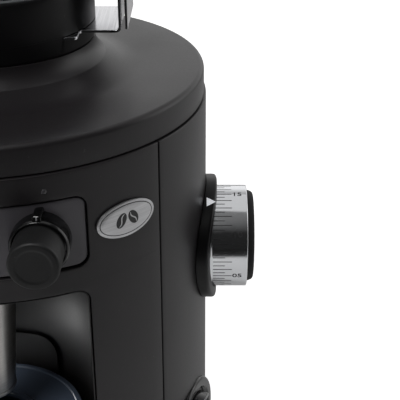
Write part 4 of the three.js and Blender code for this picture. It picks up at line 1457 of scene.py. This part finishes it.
# ---------- Spout and container ----------
@dataclass
class SpoutAndContainer:
    """The spout tube, the grounds container below it and the container's lid."""

    spout_y: float = -61.5
    cup_y: float = -62.5
    cup_r: float = 34.0

    def build(self) -> None:
        """Makes the tube, the cup and the lid."""
        head, end = G - 47, G - 95
        spout = round_piece(
            "spout_tube_shell",
            [(8.9, end + 0.4, 0.25), (9.3, end, 0.3), (10.1, end, 0.35), (10.1, end + 1.6, 0.35),
             (9.85, end + 1.9, 0.2), (13.9, head - 0.2, 0), (13.9, head + 3.5, 0), (12.7, head + 3.5, 0),
             (12.7, head, 0)],
            lambda p: p + np.array([0, self.spout_y, 0]), 128, closed=True)
        fit(spout, "housing", ("spout_tube",), "brushed_steel", Look.BRUSHED)
        low, top, r = 20.3, G - 112, self.cup_r
        cup = round_piece(
            "grounds_container_cup",
            [(0, low + 0.4, 0), (r - 7, low + 0.4, 0.5), (r - 6, low, 0.4), (r - 4.2, low, 1.5), (r - 3, low + 2, 3.0),
             (r - 1, top, 0.3), (r - 3, top, 0.3), (r - 5, low + 4, 3.0), (0, low + 3, 0)],
            lambda p: p + np.array([0, self.cup_y, 0]), 160, steps=8)
        fit(cup, "container", ("grounds_container",), "smoke_plastic", Look.SMOKE)
        lid = round_piece(
            "container_lid_disc",
            [(15, top + 0.3, 0.2), (r - 1, top + 0.3, 0), (r - 0.6, top - 5, 0), (r + 0.8, top - 5, 0.3),
             (r + 0.8, top + 2.3, 1.2), (r - 1.3, top + 2.3, 0.4), (r - 1.9, top + 1.7, 0.5), (r - 6, top + 1.5, 1.0),
             (18, top + 1.4, 0.6), (17, top + 2.3, 0.5), (15, top + 2.3, 0.5)],
            lambda p: p + np.array([0, self.cup_y, 0]), 192, closed=True, steps=7)
        fit(lid, "container_lid", ("container_lid",), "smoke_plastic", Look.SMOKE)


# ---------- Hopper ----------
@dataclass
class Hopper:
    """The lift-off hopper: its ring, collar, clear bowl, slide gate and lid."""

    neck: float = 30.2
    collar_r: float = 40.0
    throat: float = 24.0
    gate_half: float = 24.8
    tab_half: float = 15.9
    tab_x: float = 50.1

    def ring(self) -> Piece:
        """The ring: turned, with the gate's channel across its right side.

        Each column is the profile; where |y| < 25.3 on the right, its heights are cut to the channel's floor.
        """
        rt, lip = G + 28, G + 22.4
        half = 25.3
        outer = rounded_profile([
            (26, G + 2, 0), (self.neck, G + 2, 0.4), (self.neck, lip + 0.4, 0.3), (39.3, lip + 0.4, 0.3),
            (39.5, lip + 1.2, 0.6), (40.0, rt + 1.5, 0), (self.throat, rt + 1.5, 0.5), (self.throat, lip, 0.5),
            (26, lip - 4, 0),
        ], 6, closed=True)
        edge = math.asin(half / 40.0)
        angles = np.concatenate([
            np.linspace(-edge, edge, 48), np.linspace(edge + 0.004, 2 * math.pi - edge - 0.004, 170),
        ])
        inside = np.arange(len(angles)) < 48
        r, z = outer[:, :1], outer[:, 1:]
        z = np.where(inside[None], np.minimum(z, rt), z + 0 * angles[None])
        rows = np.stack([r * np.cos(angles), r * np.sin(angles), z], -1)
        return Shell("hopper_ring_body").grid(rows, closed_u=True, closed_v=True).build(36)

    def gate(self) -> None:
        """The gate: a thin plate with a round inner end, whose narrow tab turns up and folds over as a grip."""
        low, thick = G + 28.3, 1.0
        t = np.linspace(math.pi / 2, 1.5 * math.pi, 49)
        w = self.gate_half
        inner = np.stack([w * np.cos(t), w * np.sin(t)], 1)

        def plan(grow: float) -> Points:
            """The flat plate's outline up to its bend.

            Args:
                grow: how far outside its edge.

            Returns:
                An (n, 2) loop.
            """
            k = (w + grow) / w
            wide, tab = -w - grow, -self.tab_half - grow
            right = rounded_profile(
                [(0, wide, 0), (36 + grow, wide, 2.0), (36 + grow, tab, 1.5), (self.tab_x - 1.5, tab, 0)], 6)
            return np.concatenate([inner * k, right[1:], (right[1:] * [1, -1])[::-1]])

        rows = plate_rows(plan, low, low + thick, 0.2, 4)
        flat = Shell("slide_gate_plate").grid(rows, closed_u=True).cap(rows[-1]).cap(rows[0], True)
        fit(flat.build(40), "gate", ("slide_gate",), "chrome", Look.GATE)
        top = G + 51
        path = rounded_profile([
            (self.tab_x - 3.0, low + 0.5, 0), (self.tab_x + 0.5, low + 0.5, 1.6), (self.tab_x + 0.5, top - 0.5, 1.15),
            (self.tab_x + 2.9, top - 0.5, 1.15), (self.tab_x + 2.9, low + 1.4, 0),
        ], 9)
        step = np.gradient(path, axis=0)
        normal = np.stack([-step[:, 1], step[:, 0]], 1)
        normal /= np.linalg.norm(normal, axis=1, keepdims=True)
        section = rounded_rect(thick / 2, self.tab_half, 0.22, side=6, arc=4)
        rows = path[:, None, :] + normal[:, None, :] * section[None, :, :1]
        y = np.broadcast_to(section[None, :, 1:], (len(path), len(section), 1))
        rows = np.concatenate([rows[..., :1], y, rows[..., 1:]], -1)
        strip = Shell("slide_gate_grip").grid(rows, closed_u=True).cap(rows[0]).cap(rows[-1], True)
        fit(strip.build(40), "gate", ("slide_gate",), "chrome", Look.GATE)

    def build(self) -> None:
        """Makes the hopper's pieces."""
        fit(self.ring(), "hopper", ("hopper_ring",), "matte_black_plastic", Look.RING)
        base, top = G + 29.52, G + 45
        c = self.collar_r
        collar = round_piece(
            "hopper_collar_ring",
            [(self.throat, base, 0.3), (c, base, 0.03), (c, top - 3.4, 0.3), (c, top, 1.2), (c - 4, top, 0.4),
             (c - 4, top - 8, 0.3), (self.throat, base + 3, 1.0)], None, 192, closed=True, steps=7)
        fit(collar, "hopper", ("hopper_collar",), "matte_black_plastic", Look.RING)
        self.gate()
        bt = G + 168
        bowl = round_piece(
            "hopper_bowl_wall",
            [(33.4, top - 7.5, 0.4), (35.6, top - 7.5, 0.4), (35.6, top + 0.3, 0.6), (39, top + 2, 2.5),
             (61, bt - 60, 18), (64, bt - 45, 12), (64, bt, 0.7), (61.8, bt, 0.7), (61.8, bt - 45, 12), (58.8, bt - 60, 18),
             (36.2, top + 3, 2.5), (33.4, top, 1.5)], None, 192, closed=True, steps=9)
        fit(bowl, "hopper", ("hopper_bowl",), "clear_plastic", Look.CLEAR)
        lid = round_piece(
            "hopper_lid_disc",
            [(0, bt + 0.3, 0), (65, bt + 0.3, 0.4), (65, bt + 6, 2.4), (22, bt + 7.2, 5), (14, bt + 7.2, 2),
             (13.4, G + 181, 1.6), (0, G + 180.8, 0)], None, 192, steps=9)
        fit(lid, "hopper_lid", ("hopper_lid",), "matte_black_plastic", Look.MATTE)
        seal = round_piece(
            "hopper_lid_seal_ring",
            [(57.5, bt - 5, 0.6), (60.6, bt - 5, 0.6), (61, bt - 3.6, 0.4), (60.5, bt - 3.0, 0.3), (61, bt - 2.2, 0.4),
             (60.5, bt - 1.4, 0.3), (60.8, bt, 0.3), (57.5, bt, 0.3)], None, 160, closed=True, steps=5)
        fit(seal, "hopper_lid", ("hopper_lid_seal",), "black_rubber", Look.RUBBER)


# ---------- Inside ----------
INSIDE: dict[Look, tuple[str, ...]] = {
    Look.ALLOY: ("drive_plate", "grinding_chamber", "upper_burr_carrier", "lower_burr_carrier", "drive_gear",
                 "adjuster_frame"),
    Look.MACHINED: ("post_front_left", "post_front_right", "post_rear_left", "post_rear_right", "shaft_bearing",
                    "burr_shaft", "upper_burr", "lower_burr", "thrust_cup", "adjuster_wedge", "dial_shaft", "motor_can",
                    "motor_shaft", "knob_encoder"),
    Look.BRASS: ("motor_pinion", "lift_guide", "knob_plunger"),
    Look.BOARD: ("control_board", "power_board"),
    Look.MATTE: ("outlet_chute", "switch_body", "bottom_plate"),
}


def dress_inside() -> None:
    """Gives the working parts inside the body their metal, board and plastic finishes."""
    for look, names in INSIDE.items():
        for name in names:
            dress(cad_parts[name], look)
            LOG.info("%s dressed as %s", name, look.value.name)


# ---------- Studio ----------
def _seen(tree: Tree) -> Socket:
    """A mask of what is looked at, straight or through the clear bowl."""
    path = tree.nodes.new("ShaderNodeLightPath")
    return _math(tree, "MAXIMUM", path.outputs["Is Camera Ray"], path.outputs["Is Transmission Ray"])


@dataclass
class Studio:
    """The pale floor, the soft lights, the bright surroundings and the camera."""

    lens: float = 87.31
    tilt: float = math.radians(63.02)
    from_axis: tuple[float, float, float] = (79.64, -357.6, 134.07)
    bright_front: float = 0.44
    floor_lift: float = 0.75

    def floor(self) -> None:
        """A wide pale floor; what it mirrors into the grinder darkens beyond an arm's length in front."""
        mesh = bpy.data.meshes.new("studio_floor")
        s = 6.0
        mesh.from_pydata([(-s, -s, 0), (s, -s, 0), (s, s, 0), (-s, s, 0)], [], [(0, 1, 2, 3)])
        piece = bpy.data.objects.new("studio_floor", mesh)
        bpy.context.scene.collection.objects.link(piece)
        material = bpy.data.materials.new("studio_white")
        material.use_nodes = True
        tree = material.node_tree
        shader = tree.nodes["Principled BSDF"]
        where = tree.nodes.new("ShaderNodeTexCoord").outputs["Object"]
        split = tree.nodes.new("ShaderNodeSeparateXYZ")
        tree.links.new(where, split.inputs[0])
        edge = D.axis_y - self.bright_front
        near = _span(tree, split.outputs["Y"], edge - 0.1, edge)
        seen = _seen(tree)
        share = _math(tree, "MAXIMUM", near, seen)
        tone = _mix(tree, share, (0.02, 0.02, 0.02, 1), (0.90, 0.90, 0.90, 1))
        pale = _mix(tree, 0.03, tone, _noise(tree, where, 60.0, 2.0), "MULTIPLY")
        tree.links.new(pale, shader.inputs["Base Color"])
        shader.inputs["Roughness"].default_value = 0.85
        shader.inputs["Specular IOR Level"].default_value = 0.1
        shader.inputs["Emission Color"].default_value = (1, 1, 1, 1)
        tree.links.new(_math(tree, "MULTIPLY", seen, self.floor_lift), shader.inputs["Emission Strength"])
        piece.data.materials.append(material)

    @staticmethod
    def light(name: str, place: tuple[float, float, float], aim: tuple[float, float, float],
              size: tuple[float, float], power: float) -> Piece:
        """Adds a soft rectangular light.

        Args:
            name: its name.
            place: where it stands, in metres from the body's axis and the floor.
            aim: what it points at, measured the same way.
            size: its width and height in metres.
            power: watts.

        Returns:
            The lamp.
        """
        data = bpy.data.lights.new(name, "AREA")
        data.shape, data.size, data.size_y, data.energy = "RECTANGLE", size[0], size[1], power
        lamp = bpy.data.objects.new(name, data)
        axis = Vector((D.axis_x, D.axis_y, 0.0))
        lamp.location = axis + Vector(place)
        lamp.rotation_euler = (Vector(aim) - Vector(place)).to_track_quat("-Z", "Y").to_euler()
        bpy.context.scene.collection.objects.link(lamp)
        return lamp

    def surroundings(self) -> None:
        """A world bright behind and above, dim in front, and white where the camera sees it."""
        world = bpy.data.worlds.new("studio_world")
        world.use_nodes = True
        bpy.context.scene.world = world
        tree = world.node_tree
        tree.nodes.clear()
        where = tree.nodes.new("ShaderNodeTexCoord").outputs["Generated"]
        split = tree.nodes.new("ShaderNodeSeparateXYZ")
        tree.links.new(where, split.inputs[0])
        back = _span(tree, split.outputs["Y"], -0.15, 0.45)
        front = _span(tree, split.outputs["Z"], 0.55, 1.0, 0.02, 0.24)
        behind = _span(tree, split.outputs["Z"], 0.35, 0.78, 1.25, 0.26)
        level = _math(tree, "MULTIPLY_ADD", back, _math(tree, "SUBTRACT", behind, front), front)
        glow = tree.nodes.new("ShaderNodeBackground")
        tree.links.new(level, glow.inputs["Strength"])
        plain = tree.nodes.new("ShaderNodeBackground")
        plain.inputs["Strength"].default_value = 1.1
        mix = tree.nodes.new("ShaderNodeMixShader")
        tree.links.new(_seen(tree), mix.inputs[0])
        tree.links.new(glow.outputs[0], mix.inputs[1])
        tree.links.new(plain.outputs[0], mix.inputs[2])
        sink = tree.nodes.new("ShaderNodeOutputWorld")
        tree.links.new(mix.outputs[0], sink.inputs["Surface"])

    def build(self) -> None:
        """Sets the floor, lights, surroundings, view and camera."""
        self.floor()
        body = (0.0, 0.0, 0.22)
        for name, place, size, power in (
            ("overhead", (0.1, 0.5, 1.6), (1.8, 1.4), 3.6),
            ("front_above", (-0.34, -0.60, 1.15), (0.45, 0.45), 6.5),
            ("right_side", (1.3, 0.3, 0.55), (0.7, 1.1), 2.2),
            ("front_left", (-1.0, -1.1, 0.9), (0.5, 0.9), 1.6),
        ):
            self.light(name, place, body, size, power)
        glow = self.light("recess_glow", (-0.008, -0.028, 0.1415), (0.031, -0.040, 0.150), (0.014, 0.014), 0.0042)
        glow.visible_camera = False
        self.surroundings()
        scene = bpy.context.scene
        scene.view_settings.view_transform = "Standard"
        data = bpy.data.cameras.new("studio_camera")
        data.lens = self.lens
        data.sensor_width = 36.0
        data.clip_start, data.clip_end = 0.01, 50.0
        camera = bpy.data.objects.new("studio_camera", data)
        x, y, z = self.from_axis
        camera.location = (D.axis_x + x * MM, D.axis_y + y * MM, (G + z) * MM)
        camera.rotation_euler = (self.tilt, 0, 0)
        scene.collection.objects.link(camera)
        scene.camera = camera


def main() -> None:
    """Builds every sub-assembly in order, then the studio."""
    logging.basicConfig(level=logging.INFO, format="%(message)s")
    for assembly in (Base(), FrontCover(), RearHousing(), TopCover(), ControlPanel(), GrindDial(), PowerSwitch(),
                     SpoutAndContainer(), Hopper()):
        assembly.build()
    dress_inside()
    Studio().build()


if __name__ == "__main__":
    main()
